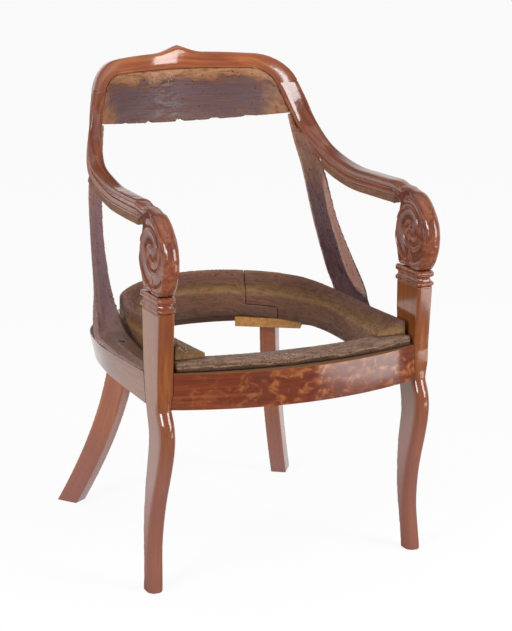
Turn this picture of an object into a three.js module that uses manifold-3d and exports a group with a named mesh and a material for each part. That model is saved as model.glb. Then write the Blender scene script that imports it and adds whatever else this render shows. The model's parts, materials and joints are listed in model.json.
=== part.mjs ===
// Open armchair with a curved crest, scroll arms, sabre rear legs and a loose seat frame.
// Millimetres, +Z up. The chair faces -Y. Right-hand pieces lie at +X and are mirrored to the left.
import * as THREE from 'three';
import { mergeVertices } from 'three/addons/utils/BufferGeometryUtils.js';
import Module from 'manifold-3d';

const wasm = await Module();
wasm.setup();

// Driving dimensions
const jointGap = 0.3;
// How far a cutter, or a piece before it is cut, runs past the face that ends it
const overrun = 20;

// Front legs, and all that is placed from them
const legThickness = 28.5;
const legOuterHalfWidth = 256.4;
const legMiddleHalfWidth = legOuterHalfWidth - legThickness / 2;
const legInnerHalfWidth = legOuterHalfWidth - legThickness;
const legTopHeight = 500;
const legBackSetback = 214;
const legReach = 82;
const footSplay = 10;
const footSplayPower = 1.5;
const kneeHeight = 285;
// Below the rail the leg's face is nearly flat, above it round
const legFaceRoundShare = 0.25;
const legFacePower = 0.45;

const collarHeight = 27.7;
const collarOverhang = 4;
const collarCorner = 7;
const collarBottomHeight = legTopHeight + jointGap;
const collarTopHeight = collarBottomHeight + collarHeight;

// Scrolls
const scrollHeight = 143.7;
const scrollLength = 105;
const scrollOverhang = 14;
const scrollCrown = 3.9;
const scrollCrownStartShare = 0.7;
const scrollCrownFullShare = 0.9;
const scrollBottomHeight = collarTopHeight + jointGap;
const scrollBackSetback = legBackSetback - scrollOverhang;
const recessDepth = 2.4;
const recessShrink = 0.88;
const beadRadius = 2.4;
const voluteReach = 39;
const voluteRise = 67.7;
const voluteSetback = legBackSetback + voluteReach;
const voluteHeight = scrollBottomHeight + voluteRise;
const armBeadStartRadius = 54;
const armBeadEndRadius = 10;
const collarBeadStartRadius = 60;
const collarBeadEndRadius = 12;
const collarBeadStartTurn = 0.55;

// Arms
const armWidth = 31;
const armDepth = 27;
const armTopHeight = scrollBottomHeight + scrollHeight;
const armStripHeight = 13;
const armStripWidth = 21;
const armStripRearReach = 66;
const armStripFrontReach = 190;
const armSweepStartShare = 0.05;
const coveTopShare = 0.28;
const coveBottomShare = 0.7;

// Seat rails, round the tub's plan
const railBottomHeight = 332;
const frontRailDepth = 62;
const sideRailFrontDepth = 54;
const backRailRise = 14;
const backRailDepth = 48;
const frontRailTopHeight = railBottomHeight + frontRailDepth;
const sideRailFrontTopHeight = railBottomHeight + sideRailFrontDepth;
const backRailBottomHeight = railBottomHeight + backRailRise;
const backRailTopHeight = backRailBottomHeight + backRailDepth;
const frontRailReach = 65;
const frontRailEndSetback = legBackSetback + frontRailReach;
const frontRailBow = 49;
const frontRailThickness = 27;
const frontRailEndOverrun = 10;
const veneerThickness = 1.7;
const veneerStep = veneerThickness + jointGap;
const sideRailThickness = 22;
const sideRailRiseEndSetback = 114.5;
const tubSwell = 14.6;
const tubFlare = 9;
const tubHalfWidth = legOuterHalfWidth + tubSwell;
const tubBackReach = 229;
const sideRailEndShare = 0.69;
const backRailStartShare = 0.705;

// Crest and its tacking panel
const crestRise = 194.5;
const crestPeakRise = 13.5;
const crestShoulderHeight = armTopHeight + crestRise;
const crestPeakHeight = crestShoulderHeight + crestPeakRise;
const crestPeakHalfWidth = 48;
const crestThickness = 24;
const crestCornerDrop = 76.2;
const crestCornerHeight = crestShoulderHeight - crestCornerDrop;
const crestCornerHalfWidth = 137;
const crestCornerRadius = 72.4;
const crestInnerDrop = 74.5;
const crestInnerHeight = crestShoulderHeight - crestInnerDrop;
const crestInnerHalfWidth = 132;
const crestInnerRadius = 43;
const crestOverhang = 20;
const crestBackReach = tubBackReach + crestOverhang;
const crestBow = 49;
const crestBowHalfWidth = 150;
const crestLeanShare = 0.16;
const crestJointDegrees = 20;

const panelMiddleDrop = 129.5;
const panelEndDrop = 114.5;
const panelEndTopDrop = 101.5;
const panelMiddleHeight = crestShoulderHeight - panelMiddleDrop;
const panelEndHeight = crestShoulderHeight - panelEndDrop;
const panelEndTopHeight = crestShoulderHeight - panelEndTopDrop;
const panelHalfWidth = 190;
const panelThickness = 18;
const panelSetback = 3;

// Stiles
const stileDrop = 115.5;
const stileTopHeight = crestShoulderHeight - stileDrop;
const stileThickness = 22;
const stileScrewAlongShare = 0.8;
const stileScrewAcrossShare = 0.35;

// Rear legs
const rearLegShare = 0.6888;
const rearLegInset = 21.3;
const rearLegTurnDegrees = 55;
const rearLegLength = 45;
const rearLegThickness = 31;
const rearLegSweep = 131;
const rearLegSweepPower = 1.56;

// Loose seat frame
const frameSideInset = 34.4;
const frameBackInset = 26;
const frameHalfWidth = legOuterHalfWidth - frameSideInset;
const frameBackReach = tubBackReach - frameBackInset;
const frameDrop = 27;
const frameSideDepth = 53;
const frameFrontRimRise = 18;
const frameBackRimRise = 33;
const frameSpliceRise = 24;
const frameBottomHeight = frontRailTopHeight - frameDrop;
const frameLedgeHeight = frameBottomHeight + frameSideDepth;
const frameSpliceHeight = frameBottomHeight + frameSpliceRise;
const frameFrontRise = 17;
const frameFrontTopHeight = frontRailTopHeight + frameFrontRise;
const frameFrontDepth = 46;
const frameFrontInset = 17;
const frameFrontBow = 36;
const frameFrontCorner = 4;
const frameFrontSetback = frontRailEndSetback + frontRailBow - frameFrontInset;
const frameSideEndReach = 243;
const framePocketClearance = 2;
// The halves lap between two shares of the way round the plan, from the left front end
const spliceHighShare = 0.617;
const spliceLowShare = 0.7;
const spliceRootShare = 0.004;
const spliceBlockShare = 0.672;
const spliceBlockHeight = 18;
const spliceBlockDepth = 38;
const spliceBlockLength = 126;

// Corner blocks
const blockRise = 4;
const blockBottomHeight = railBottomHeight + blockRise;
const blockLegLength = 92;
const blockEndThickness = 20;

// Dowels, screws and nails
const dowelRadius = 4.5;
const dowelLength = 34;
const dowelSpread = 24;
const scrollDowelDepth = 20;
const rearDowelLength = 26;
const rearDowelRadius = 3.8;
const rearDowelSpread = 11;
const screwRadius = 2.2;
const screwHeadRadius = 4.4;
const screwHeadHeight = 3;
const screwLength = 46;
const blockScrewInset = 20;
const frontScrewInset = 22;
const nailRadius = 1.3;
const nailHeadRadius = 2.6;
const nailHeadHeight = 2;
const nailLength = 38;

// Outlines, in shares of the sizes that they follow
// Tub plan: across share, depth share (of the back reach)
const tubPlanShares = [
  [0.946, -1.05], [0.946, -0.93], [0.978, -0.52], [0.993, -0.2], [0.974, 0.09], [0.922, 0.314],
  [0.828, 0.498], [0.69, 0.686], [0.548, 0.834], [0.369, 0.93], [0.185, 0.983], [0, 1],
];
// Front leg: height share, back edge share, front edge share (of the reach, forward of its back)
const legProfileShares = [
  [0, 0.12, 0.49], [0.08, 0.098, 0.44], [0.16, 0.037, 0.4], [0.24, 0, 0.45], [0.32, 0.024, 0.56],
  [0.4, 0.073, 0.73], [0.48, 0.171, 0.9], [0.54, 0.23, 0.985], [0.58, 0.21, 0.995],
  [0.62, 0.15, 0.94], [0.66, 0.085, 0.81], [0.72, 0.03, 0.8], [0.82, -0.03, 0.825], [1, -0.05, 0.92],
];
// Stile: its crease, inner edge and outer lip. Shares across, in depth (of the tub's back) and in
// height (of the stile's rise), and for inner edge and lip the thickness share behind them
const stileShares = [
  { crease: [0.716, 0.64, 1], inner: [0.679, 0.672, 1, 1], lip: [0.727, 0.62, 1, 0.1] },
  { crease: [0.778, 0.55, 0.86], inner: [0.708, 0.622, 0.86, 1], lip: [0.8, 0.52, 0.86, 0.1] },
  { crease: [0.841, 0.454, 0.715], inner: [0.742, 0.541, 0.715, 1], lip: [0.871, 0.424, 0.715, 0.1] },
  { crease: [0.882, 0.336, 0.464], inner: [0.775, 0.419, 0.464, 1], lip: [0.911, 0.271, 0.464, 0.1] },
  { crease: [0.908, 0.144, 0.235], inner: [0.793, 0.223, 0.235, 1.2], lip: [0.959, 0.039, 0.235, 0.2] },
  { crease: [0.922, 0.04, 0.14], inner: [0.796, 0.087, 0.145, 1.5], lip: [0.985, -0.075, 0.13, 0.6] },
  { crease: [0.93, -0.105, 0.052], inner: [0.798, -0.087, 0.058, 1.6], lip: [0.998, -0.144, 0.04, 1] },
  { crease: [0.93, -0.25, 0.032], inner: [0.8, -0.25, 0.022, 1], lip: [0.994, -0.25, 0.022, 1] },
  { crease: [0.928, -0.55, 0.016], inner: [0.8, -0.55, -0.004, 1], lip: [0.981, -0.55, 0, 1] },
  { crease: [0.91, -0.95, 0.002], inner: [0.8, -0.95, -0.016, 1], lip: [0.948, -0.95, -0.018, 1] },
];
// Arm: middle of its top surface, from the crest joint to the scroll. Across share, depth share
// (of the tub's back), height share (from arm top to crest shoulder), then how many degrees its
// width leans back, width share, depth share, how square it is cut to the front, its moulding,
// and how far its outer side tapers in towards its back
const armPathShares = [
  [0.78, 0.698, 0.715, 39, 1.32, 0.89, 1, 0, 0.1], [0.839, 0.606, 0.504, 35, 1.26, 0.82, 1, 0, 0.2],
  [0.882, 0.53, 0.334, 30, 1.17, 0.8, 1, 0.2, 0.3], [0.925, 0.394, 0.185, 17, 1.07, 0.92, 0.6, 0.9, 0.2],
  [0.955, 0.253, 0.103, 3, 1.02, 1, 0.1, 1, 0.06], [0.965, 0.035, 0.041, 0, 1, 1, 0, 1, 0],
  [0.976, -0.197, 0.004, 0, 1, 1, 0, 1, 0], [0.988, -0.428, 0, 0, 1, 1, 0, 1, 0],
  [0.996, -0.655, 0, 0, 1, 1, 0, 1, 0], [1, -0.83, 0, 0, 1, 1, 0, 1, 0],
  [1, -1.02, -0.03, 0, 1, 1, 0, 1, 0],
];
// Arm section from the middle of the top down one side: plain and moulded width shares, depth share
const armSideShares = [
  [0.3, 0.3, -0.03], [0.43, 0.42, 0.03], [0.49, 0.49, 0.14], [0.5, 0.46, 0.26], [0.5, 0.38, 0.36],
  [0.5, 0.36, 0.5], [0.5, 0.4, 0.64], [0.5, 0.49, 0.75], [0.49, 0.5, 0.87], [0.44, 0.42, 1],
];
// Scroll side view: length share forward of its back, height share, then how far its rounded
// front bulges, as a share of half the thickness
const scrollShares = [
  [0.105, 0, 0], [0.048, 0.145, 0], [0, 0.31, 0], [0.038, 0.474, 0], [0.1, 0.62, 0],
  [0.12, 0.74, 0], [0.2, 0.84, 0], [0.22, 0.965, 0], [0.38, 0.935, 0.1], [0.514, 0.905, 0.25],
  [0.633, 0.865, 0.45], [0.72, 0.82, 0.6], [0.81, 0.75, 0.8], [0.895, 0.67, 0.95],
  [0.96, 0.575, 1], [1, 0.45, 1], [0.99, 0.33, 1], [0.96, 0.24, 0.95], [0.895, 0.12, 0.8],
  [0.84, 0.05, 0.5], [0.78, 0, 0.2],
];
// Collar: height share, share of the overhang
const collarProfileShares = [
  [0, 0.2], [0.09, 1], [0.23, 1], [0.31, 0], [0.475, -0.4], [0.6, 0], [0.675, 1], [0.85, 1], [1, 0.1],
];
// Seat frame's top: share of the way out, share of the rise from ledge to rim
const frameTopShares = [[0, 0], [0.1, 0.125], [0.35, 0.25], [0.85, 1], [1, 0.875]];
// Seat frame plan: outer across and depth shares, inner across and depth shares
const framePlanShares = [
  [0.985, -1.29, 0.735, -1.29], [0.94, -0.74, 0.78, -0.65], [0.924, -0.24, 0.797, -0.2],
  [0.905, 0.1, 0.766, 0.09], [0.842, 0.42, 0.698, 0.29], [0.7, 0.65, 0.586, 0.485],
  [0.49, 0.845, 0.428, 0.655], [0.248, 0.96, 0.225, 0.79], [0, 1, 0, 0.835],
];

// Finishes
const mahogany = { color: '#8f4529', roughness: 0.3, metalness: 0 };
const flameVeneer = { color: '#a4552f', roughness: 0.28, metalness: 0 };
const tackedWood = { color: '#6b5450', roughness: 0.85, metalness: 0 };
const secondaryWood = { color: '#8a6a42', roughness: 0.85, metalness: 0 };
const paleBlockWood = { color: '#c08a45', roughness: 0.75, metalness: 0 };
const dowelWood = { color: '#b58f5f', roughness: 0.7, metalness: 0 };
const ironwork = { color: '#4b4845', roughness: 0.5, metalness: 0.9 };

const chair = new THREE.Group();

function addPiece(name, geometry, finish) {
  geometry.computeVertexNormals();
  const mesh = new THREE.Mesh(geometry, new THREE.MeshStandardMaterial(finish));
  mesh.name = name;
  chair.add(mesh);
}

function mirrored(geometry) {
  const copy = geometry.clone();
  copy.scale(-1, 1, 1);
  const index = copy.index.array;
  for (let i = 0; i < index.length; i += 3) {
    [index[i + 1], index[i + 2]] = [index[i + 2], index[i + 1]];
  }
  return copy;
}

function addPair(name, geometry, finish) {
  addPiece(`right_${name}`, geometry, finish);
  addPiece(`left_${name}`, mirrored(geometry), finish);
}

// A row of numbers read from rows of numbers at a share of the way, on a smooth curve
function smoothRow(rows, share) {
  const place = THREE.MathUtils.clamp(share, 0, 1) * (rows.length - 1);
  const first = Math.min(Math.floor(place), rows.length - 2);
  const row = (i) => rows[THREE.MathUtils.clamp(i, 0, rows.length - 1)];
  const t = place - first;
  return rows[0].map((_, column) => {
    const before = row(first - 1)[column];
    const start = row(first)[column];
    const end = row(first + 1)[column];
    const after = row(first + 2)[column];
    const startSlope = (end - before) / 2;
    const endSlope = (after - start) / 2;
    const bend = 2 * (start - end) + startSlope + endSlope;
    return ((bend * t + 3 * (end - start) - 2 * startSlope - endSlope) * t + startSlope) * t + start;
  });
}

function spread(count, make) {
  return Array.from({ length: count + 1 }, (_, i) => make(i / count));
}

function capTriangles(ring) {
  const normal = new THREE.Vector3();
  ring.forEach((point, i) => normal.add(new THREE.Vector3().crossVectors(point, ring[(i + 1) % ring.length])));
  normal.normalize();
  const side = new THREE.Vector3().subVectors(ring[1], ring[0]).normalize();
  const rise = new THREE.Vector3().crossVectors(normal, side);
  const flat = ring.map((point) => new THREE.Vector2(point.dot(side), point.dot(rise)));
  return THREE.ShapeUtils.triangulateShape(flat, []).map(([a, b, c]) => {
    const turn = flat[b].clone().sub(flat[a]).cross(flat[c].clone().sub(flat[a]));
    return turn > 0 ? [a, b, c] : [a, c, b];
  });
}

// A closed body through rings that all have the same number of points
function loft(rings) {
  const size = rings[0].length;
  const triangles = [];
  for (let i = 0; i < rings.length - 1; i += 1) {
    for (let j = 0; j < size; j += 1) {
      const a = i * size + j;
      const b = i * size + (j + 1) % size;
      triangles.push([a, b, b + size], [a, b + size, a + size]);
    }
  }
  const last = (rings.length - 1) * size;
  capTriangles(rings[0]).forEach(([a, b, c]) => triangles.push([a, c, b]));
  capTriangles(rings[rings.length - 1]).forEach(([a, b, c]) => triangles.push([a + last, b + last, c + last]));
  const points = rings.flat();
  const volume = triangles.reduce((sum, [a, b, c]) => sum + points[a].dot(points[b].clone().cross(points[c])), 0);
  const index = volume > 0 ? triangles : triangles.map(([a, b, c]) => [a, c, b]);
  const geometry = new THREE.BufferGeometry();
  geometry.setAttribute('position', new THREE.Float32BufferAttribute(points.flatMap((p) => p.toArray()), 3));
  geometry.setIndex(index.flat());
  return geometry;
}

function toSolid(geometry) {
  const bare = geometry.clone();
  bare.deleteAttribute('normal');
  bare.deleteAttribute('uv');
  const merged = mergeVertices(bare);
  return new wasm.Manifold(new wasm.Mesh({
    numProp: 3,
    vertProperties: new Float32Array(merged.attributes.position.array),
    triVerts: new Uint32Array(merged.index.array),
  }));
}

function fromSolid(solid) {
  const mesh = solid.getMesh();
  const geometry = new THREE.BufferGeometry();
  geometry.setAttribute('position', new THREE.BufferAttribute(mesh.vertProperties, 3));
  geometry.setIndex(new THREE.BufferAttribute(mesh.triVerts, 1));
  return geometry;
}

// The same body with its points merged
function welded(geometry) {
  return fromSolid(toSolid(geometry));
}

function cut(geometry, ...cutters) {
  return fromSolid(cutters.reduce((solid, cutter) => solid.subtract(toSolid(cutter)), toSolid(geometry)));
}

function join(...geometries) {
  const [first, ...others] = geometries.map(toSolid);
  return fromSolid(others.reduce((solid, other) => solid.add(other), first));
}

function block(low, high) {
  const size = new THREE.Vector3().subVectors(high, low);
  const geometry = new THREE.BoxGeometry(size.x, size.y, size.z);
  const middle = new THREE.Vector3().addVectors(low, high).multiplyScalar(0.5);
  return geometry.translate(middle.x, middle.y, middle.z);
}

function turned(geometry, start, direction) {
  const upright = new THREE.Vector3(0, 1, 0);
  geometry.applyQuaternion(new THREE.Quaternion().setFromUnitVectors(upright, direction.clone().normalize()));
  return geometry.translate(start.x, start.y, start.z);
}

// A round peg about a middle point, along a direction
function peg(middle, direction, length, radius) {
  return welded(turned(new THREE.CylinderGeometry(radius, radius, length, 12), middle, direction));
}

// A flat-headed fixing whose head starts at a point, driven along a direction
function fixing({ start, direction, size }, clearance) {
  const shank = size.radius + clearance;
  const head = size.headRadius + clearance;
  const outline = [
    [0, 0], [head, 0], [head, size.headHeight / 3], [shank, size.headHeight],
    [shank, size.length + clearance], [0, size.length + clearance],
  ].map(([across, along]) => new THREE.Vector2(across, along));
  return welded(turned(new THREE.LatheGeometry(outline, 12), start, direction));
}

// The hole for a fixing, with a counterbore before its head
function fixingHole(fixingPlace) {
  const { start, direction, size } = fixingPlace;
  const middle = start.clone().addScaledVector(direction, -overrun);
  const counterbore = peg(middle, direction, 2 * overrun + jointGap, size.headRadius + jointGap);
  return join(fixing(fixingPlace, jointGap), counterbore);
}

// Crest
function crestFaceY(x, z) {
  const bow = crestBow * (x / crestBowHalfWidth) ** 2;
  return crestBackReach - bow - crestLeanShare * (crestPeakHeight - z);
}

function crestPoint(x, z, inset) {
  return new THREE.Vector3(x, crestFaceY(x, z) + inset, z);
}

// How far the crest's top line stands over the top of its corner arcs
function crestTopRise(x) {
  const cornerTop = crestCornerHeight + crestCornerRadius;
  const shoulder = (crestShoulderHeight - cornerTop) * (1 - (x / crestCornerHalfWidth) ** 2);
  const share = Math.max(0, 1 - Math.abs(x) / crestPeakHalfWidth);
  return shoulder + (crestPeakHeight - crestShoulderHeight) * share * share * (2 - share);
}

// Face line of the crest, right half: the share runs from the middle to the arm joint
function crestFaceEnds(share) {
  const turn = THREE.MathUtils.degToRad(90 - crestJointDegrees);
  const arc = crestCornerRadius * turn;
  const straightShare = share * (crestCornerHalfWidth + arc) / crestCornerHalfWidth;
  if (straightShare <= 1) {
    const across = crestCornerHalfWidth * straightShare;
    return {
      inner: [crestInnerHalfWidth * straightShare, crestInnerHeight + crestInnerRadius],
      outer: [across, crestCornerHeight + crestCornerRadius + crestTopRise(across)],
    };
  }
  const angle = Math.PI / 2 - turn * (straightShare - 1) * crestCornerHalfWidth / arc;
  return {
    inner: [
      crestInnerHalfWidth + crestInnerRadius * Math.cos(angle),
      crestInnerHeight + crestInnerRadius * Math.sin(angle),
    ],
    outer: [
      crestCornerHalfWidth + crestCornerRadius * Math.cos(angle),
      crestCornerHeight + crestCornerRadius * Math.sin(angle),
    ],
  };
}

// Width and depth shares round the arm's section, from its outer side to its inner one
function armSection(moulded, taper) {
  const side = armSideShares.map(([plain, carved, deep]) => (
    [THREE.MathUtils.lerp(plain, carved, moulded), deep]
  ));
  const outerSide = side.map(([w, d]) => [w - taper * d, d]);
  const innerSide = side.map(([w, d]) => [-w, d]).reverse();
  return [...outerSide, ...innerSide];
}

function crestRing(share) {
  const { inner, outer } = crestFaceEnds(Math.abs(share));
  const side = Math.sign(share) || 1;
  const { moulded, taper } = armRow(0);
  return armSection(moulded, taper).map(([w, d]) => {
    const [x, z] = [0, 1].map((i) => THREE.MathUtils.lerp(inner[i], outer[i], w + 0.5));
    return crestPoint(side * x, z, d * crestThickness);
  });
}

function crestRail() {
  return loft(spread(38, (t) => crestRing(2 * t - 1)));
}

function panelTop(x) {
  const across = Math.abs(x);
  const joint = crestFaceEnds(1).inner;
  if (across <= crestInnerHalfWidth) {
    return crestInnerHeight + crestInnerRadius;
  }
  if (across <= joint[0]) {
    return crestInnerHeight + Math.sqrt(crestInnerRadius ** 2 - (across - crestInnerHalfWidth) ** 2);
  }
  const endShare = (across - joint[0]) / (panelHalfWidth - joint[0]);
  return THREE.MathUtils.lerp(joint[1], panelEndTopHeight, endShare);
}

function panelBottom(x) {
  return panelMiddleHeight + (panelEndHeight - panelMiddleHeight) * (x / panelHalfWidth) ** 2;
}

function tackPanel() {
  return loft(spread(36, (t) => {
    const x = panelHalfWidth * (2 * t - 1);
    const top = panelTop(x) - jointGap;
    const bottom = panelBottom(x);
    const back = panelSetback + panelThickness;
    return [
      crestPoint(x, bottom, panelSetback), crestPoint(x, top, panelSetback),
      crestPoint(x, top, back), crestPoint(x, bottom, back),
    ];
  }));
}

// Arms
function armRow(share) {
  const row = smoothRow(armPathShares, share);
  const [across, depth, height, lean, width, deep, square, moulded, taper] = row;
  return { across, depth, height, lean, width, deep, square, moulded, taper };
}

function armPath(share) {
  const { across, depth, height } = armRow(share);
  const rise = crestShoulderHeight - armTopHeight;
  return new THREE.Vector3(across * legMiddleHalfWidth, depth * tubBackReach, armTopHeight + height * rise);
}

function armAlong(share) {
  const step = 0.01;
  return new THREE.Vector3().subVectors(armPath(share + step), armPath(share - step)).normalize();
}

// The arm's axes at a share of its path: across the top surface, and down into the wood
function armAxes(share) {
  const { lean, square } = armRow(share);
  const turn = THREE.MathUtils.degToRad(lean);
  const along = armAlong(share);
  const jointShare = Math.max(0, 1 - share * (armPathShares.length - 1));
  const tilt = THREE.MathUtils.degToRad(crestJointDegrees) * jointShare;
  const across = new THREE.Vector3(Math.cos(turn), -Math.sin(turn), Math.sin(tilt));
  across.addScaledVector(along, -across.dot(along)).normalize();
  const down = new THREE.Vector3().crossVectors(across, along).normalize();
  down.lerp(new THREE.Vector3(0, 1, 0), square).normalize();
  return { across, down };
}

function armRing(share, clearance) {
  const { width, deep, moulded, taper } = armRow(share);
  const { across, down } = armAxes(share);
  return armSection(moulded, taper).map(([w, d]) => armPath(share)
    .addScaledVector(across, w * width * armWidth + Math.sign(w) * clearance)
    .addScaledVector(down, d * deep * armDepth + (d > 0.5 ? clearance : -clearance)));
}

// The arm starts with the crest's own end section, so that the joint runs through
function armSweep(clearance) {
  const joint = crestRing(1).map((point) => point.addScaledVector(armAlong(0), jointGap));
  return loft([joint, ...spread(30, (t) => armRing(THREE.MathUtils.lerp(armSweepStartShare, 1, t), clearance))]);
}

function scrollPoint([along, up, bulge], acrossShare) {
  const half = armWidth / 2;
  const round = Math.sqrt(1 - acrossShare ** 2);
  const front = bulge * half * round;
  const crown = scrollCrown * round * THREE.MathUtils.smoothstep(up, scrollCrownStartShare, scrollCrownFullShare);
  return new THREE.Vector3(
    legMiddleHalfWidth + acrossShare * half,
    -scrollBackSetback - along * scrollLength - front,
    scrollBottomHeight + up * (armTopHeight - scrollBottomHeight) + crown,
  );
}

function scrollBody() {
  const acrossShares = [-1, -0.96, -0.8, -0.45, 0, 0.45, 0.8, 0.96, 1];
  return loft(acrossShares.map((share) => scrollShares.map((row) => scrollPoint(row, share))));
}

// The sunk ground of the carved face, open to the arm's cove
function scrollRecess(side) {
  const face = legMiddleHalfWidth + side * armWidth / 2;
  const outline = scrollShares.map((row) => {
    const point = scrollPoint(row, 1);
    return [
      (point.y + voluteSetback) * recessShrink - voluteSetback,
      (point.z - voluteHeight) * recessShrink + voluteHeight,
    ];
  });
  const ground = loft([face - side * recessDepth, face + side * overrun].map((x) => (
    outline.map(([y, z]) => new THREE.Vector3(x, y, z))
  )));
  const ends = [face - side * recessDepth, face + side * overrun].sort((a, b) => a - b);
  const cove = block(
    new THREE.Vector3(ends[0], -voluteSetback, armTopHeight - armDepth * coveBottomShare),
    new THREE.Vector3(ends[1], -scrollBackSetback, armTopHeight - armDepth * coveTopShare),
  );
  return join(ground, cove);
}

// A carved bead winds in about the eye of the volute; turns are counted from the top, forwards
class VoluteCurve extends THREE.Curve {
  constructor(across, startTurn, startRadius, endRadius) {
    super();
    Object.assign(this, { across, startTurn, startRadius, endRadius });
  }

  getPoint(t, target = new THREE.Vector3()) {
    const angle = (this.startTurn + t) * 2 * Math.PI;
    const radius = THREE.MathUtils.lerp(this.startRadius, this.endRadius, t);
    return target.set(
      this.across,
      -voluteSetback - radius * Math.sin(angle),
      voluteHeight + radius * Math.cos(angle),
    );
  }
}

function voluteBead(curve) {
  const section = new THREE.Shape();
  section.absarc(0, 0, beadRadius, 0, 2 * Math.PI);
  const options = { curveSegments: 3, steps: 24, bevelEnabled: false, extrudePath: curve };
  return new THREE.ExtrudeGeometry(section, options);
}

function armWithScroll() {
  const carved = cut(scrollBody(), scrollRecess(1), scrollRecess(-1));
  const beads = [-1, 1].flatMap((side) => {
    const ground = legMiddleHalfWidth + side * (armWidth / 2 - recessDepth);
    return [
      new VoluteCurve(ground, 0, armBeadStartRadius, armBeadEndRadius),
      new VoluteCurve(ground, collarBeadStartTurn, collarBeadStartRadius, collarBeadEndRadius),
    ];
  });
  return join(armSweep(0), carved, ...beads.map(voluteBead));
}

// The share of the arm's path at which it passes a depth
function armShareAt(depth) {
  let low = 0;
  let high = 1;
  for (let i = 0; i < 30; i += 1) {
    const middle = (low + high) / 2;
    if (armPath(middle).y > depth) {
      low = middle;
    } else {
      high = middle;
    }
  }
  return low;
}

function armTackStrip() {
  const rearShare = armShareAt(armStripRearReach);
  const frontShare = armShareAt(-armStripFrontReach);
  return loft(spread(12, (t) => {
    const share = rearShare + (frontShare - rearShare) * t;
    const { across, down } = armAxes(share);
    const bottom = armDepth + armStripHeight;
    return [[-0.5, armDepth], [0.5, armDepth], [0.5, bottom], [-0.5, bottom]]
      .map(([w, d]) => armPath(share).addScaledVector(across, w * armStripWidth).addScaledVector(down, d));
  }));
}

// Front legs
function legEdges(height) {
  const share = height / legTopHeight;
  let row = 1;
  while (row < legProfileShares.length - 1 && legProfileShares[row][0] < share) {
    row += 1;
  }
  const [low] = legProfileShares[row - 1];
  const [high] = legProfileShares[row];
  const place = (row - 1 + (share - low) / (high - low)) / (legProfileShares.length - 1);
  const [, back, front] = smoothRow(legProfileShares, place);
  return [-legBackSetback - back * legReach, -legBackSetback - front * legReach];
}

function legRing(height, clearance) {
  const [back, front] = legEdges(height);
  const half = legThickness / 2 + clearance;
  const splay = footSplay * Math.max(0, 1 - height / kneeHeight) ** footSplayPower;
  const middle = legMiddleHalfWidth + splay;
  const aboveRail = THREE.MathUtils.smoothstep(railBottomHeight + legThickness - height, 0, legThickness);
  const roundDepth = half * THREE.MathUtils.lerp(legFaceRoundShare, 1, aboveRail);
  const power = THREE.MathUtils.lerp(legFacePower, 1, aboveRail);
  const straight = front - clearance + roundDepth;
  const arc = spread(8, (t) => {
    const angle = Math.PI * t;
    const acrossShare = Math.sign(Math.cos(angle)) * Math.abs(Math.cos(angle)) ** power;
    return new THREE.Vector3(middle + half * acrossShare, straight - roundDepth * Math.sin(angle) ** power, height);
  });
  const backY = back + clearance;
  return [...arc, new THREE.Vector3(middle - half, backY, height), new THREE.Vector3(middle + half, backY, height)];
}

function frontLeg(clearance) {
  const heightShares = legProfileShares.map(([share]) => share);
  const dense = heightShares.slice(0, -1).flatMap((share, i) => [share, (share + heightShares[i + 1]) / 2]);
  return loft([...dense, 1].map((share) => legRing(share * legTopHeight, clearance)));
}

function collar() {
  const [legTopBack, legTopFront] = legEdges(legTopHeight);
  return loft(collarProfileShares.map(([rise, out]) => {
    const grow = collarOverhang * out;
    const half = legThickness / 2 + grow;
    const back = legTopBack + grow;
    const front = legTopFront - grow;
    const height = THREE.MathUtils.lerp(collarBottomHeight, collarTopHeight, rise);
    return [
      [half, back], [half, front + collarCorner], [half - collarCorner, front],
      [collarCorner - half, front], [-half, front + collarCorner], [-half, back],
    ].map(([x, y]) => new THREE.Vector3(legMiddleHalfWidth + x, y, height));
  }));
}

// Seat rails
function frontRailFace(x) {
  return -frontRailEndSetback - frontRailBow * (1 - (x / (legInnerHalfWidth)) ** 2);
}

function frontBand(face, thickness, low, high) {
  const reach = legInnerHalfWidth + frontRailEndOverrun;
  return loft(spread(20, (t) => {
    const x = reach * (2 * t - 1);
    const front = frontRailFace(x) + face;
    return [[front, low], [front + thickness, low], [front + thickness, high], [front, high]]
      .map(([y, z]) => new THREE.Vector3(x, y, z));
  }));
}

function tubPlan(share) {
  const [across, depth] = smoothRow(tubPlanShares, share);
  return new THREE.Vector3(across * tubHalfWidth, depth * tubBackReach, 0);
}

function tubInward(share) {
  const step = 0.01;
  const along = new THREE.Vector3().subVectors(tubPlan(share + step), tubPlan(share - step));
  if (share + step > 1) {
    along.set(-1, 0, 0);
  }
  return new THREE.Vector3(-along.y, along.x, 0).normalize();
}

function sideRailTop(depth) {
  const run = legBackSetback + sideRailRiseEndSetback;
  const share = THREE.MathUtils.clamp((depth + legBackSetback) / run, 0, 1);
  return THREE.MathUtils.lerp(sideRailFrontTopHeight, backRailTopHeight, share);
}

function sideRailBottom(depth) {
  const share = THREE.MathUtils.clamp((depth + legBackSetback) / legBackSetback, 0, 1);
  return THREE.MathUtils.lerp(railBottomHeight, backRailBottomHeight, share);
}

function tubRing(share, face, thickness, innerFlareShare) {
  const inward = tubInward(share);
  const plan = tubPlan(share);
  const high = sideRailTop(plan.y);
  const low = sideRailBottom(plan.y);
  const flare = tubFlare * (low - railBottomHeight) / (backRailBottomHeight - railBottomHeight);
  const corner = (inset, height) => plan.clone().addScaledVector(inward, inset).setZ(height);
  return [
    corner(face, high), corner(face + thickness, high),
    corner(face + thickness + flare * innerFlareShare, low), corner(face + flare, low),
  ];
}

// A band of the tub's rail between two shares of its plan
function tubBand(startShare, endShare, face, thickness, innerFlareShare) {
  return loft(spread(24, (t) => (
    tubRing(THREE.MathUtils.lerp(startShare, endShare, t), face, thickness, innerFlareShare)
  )));
}

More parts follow.
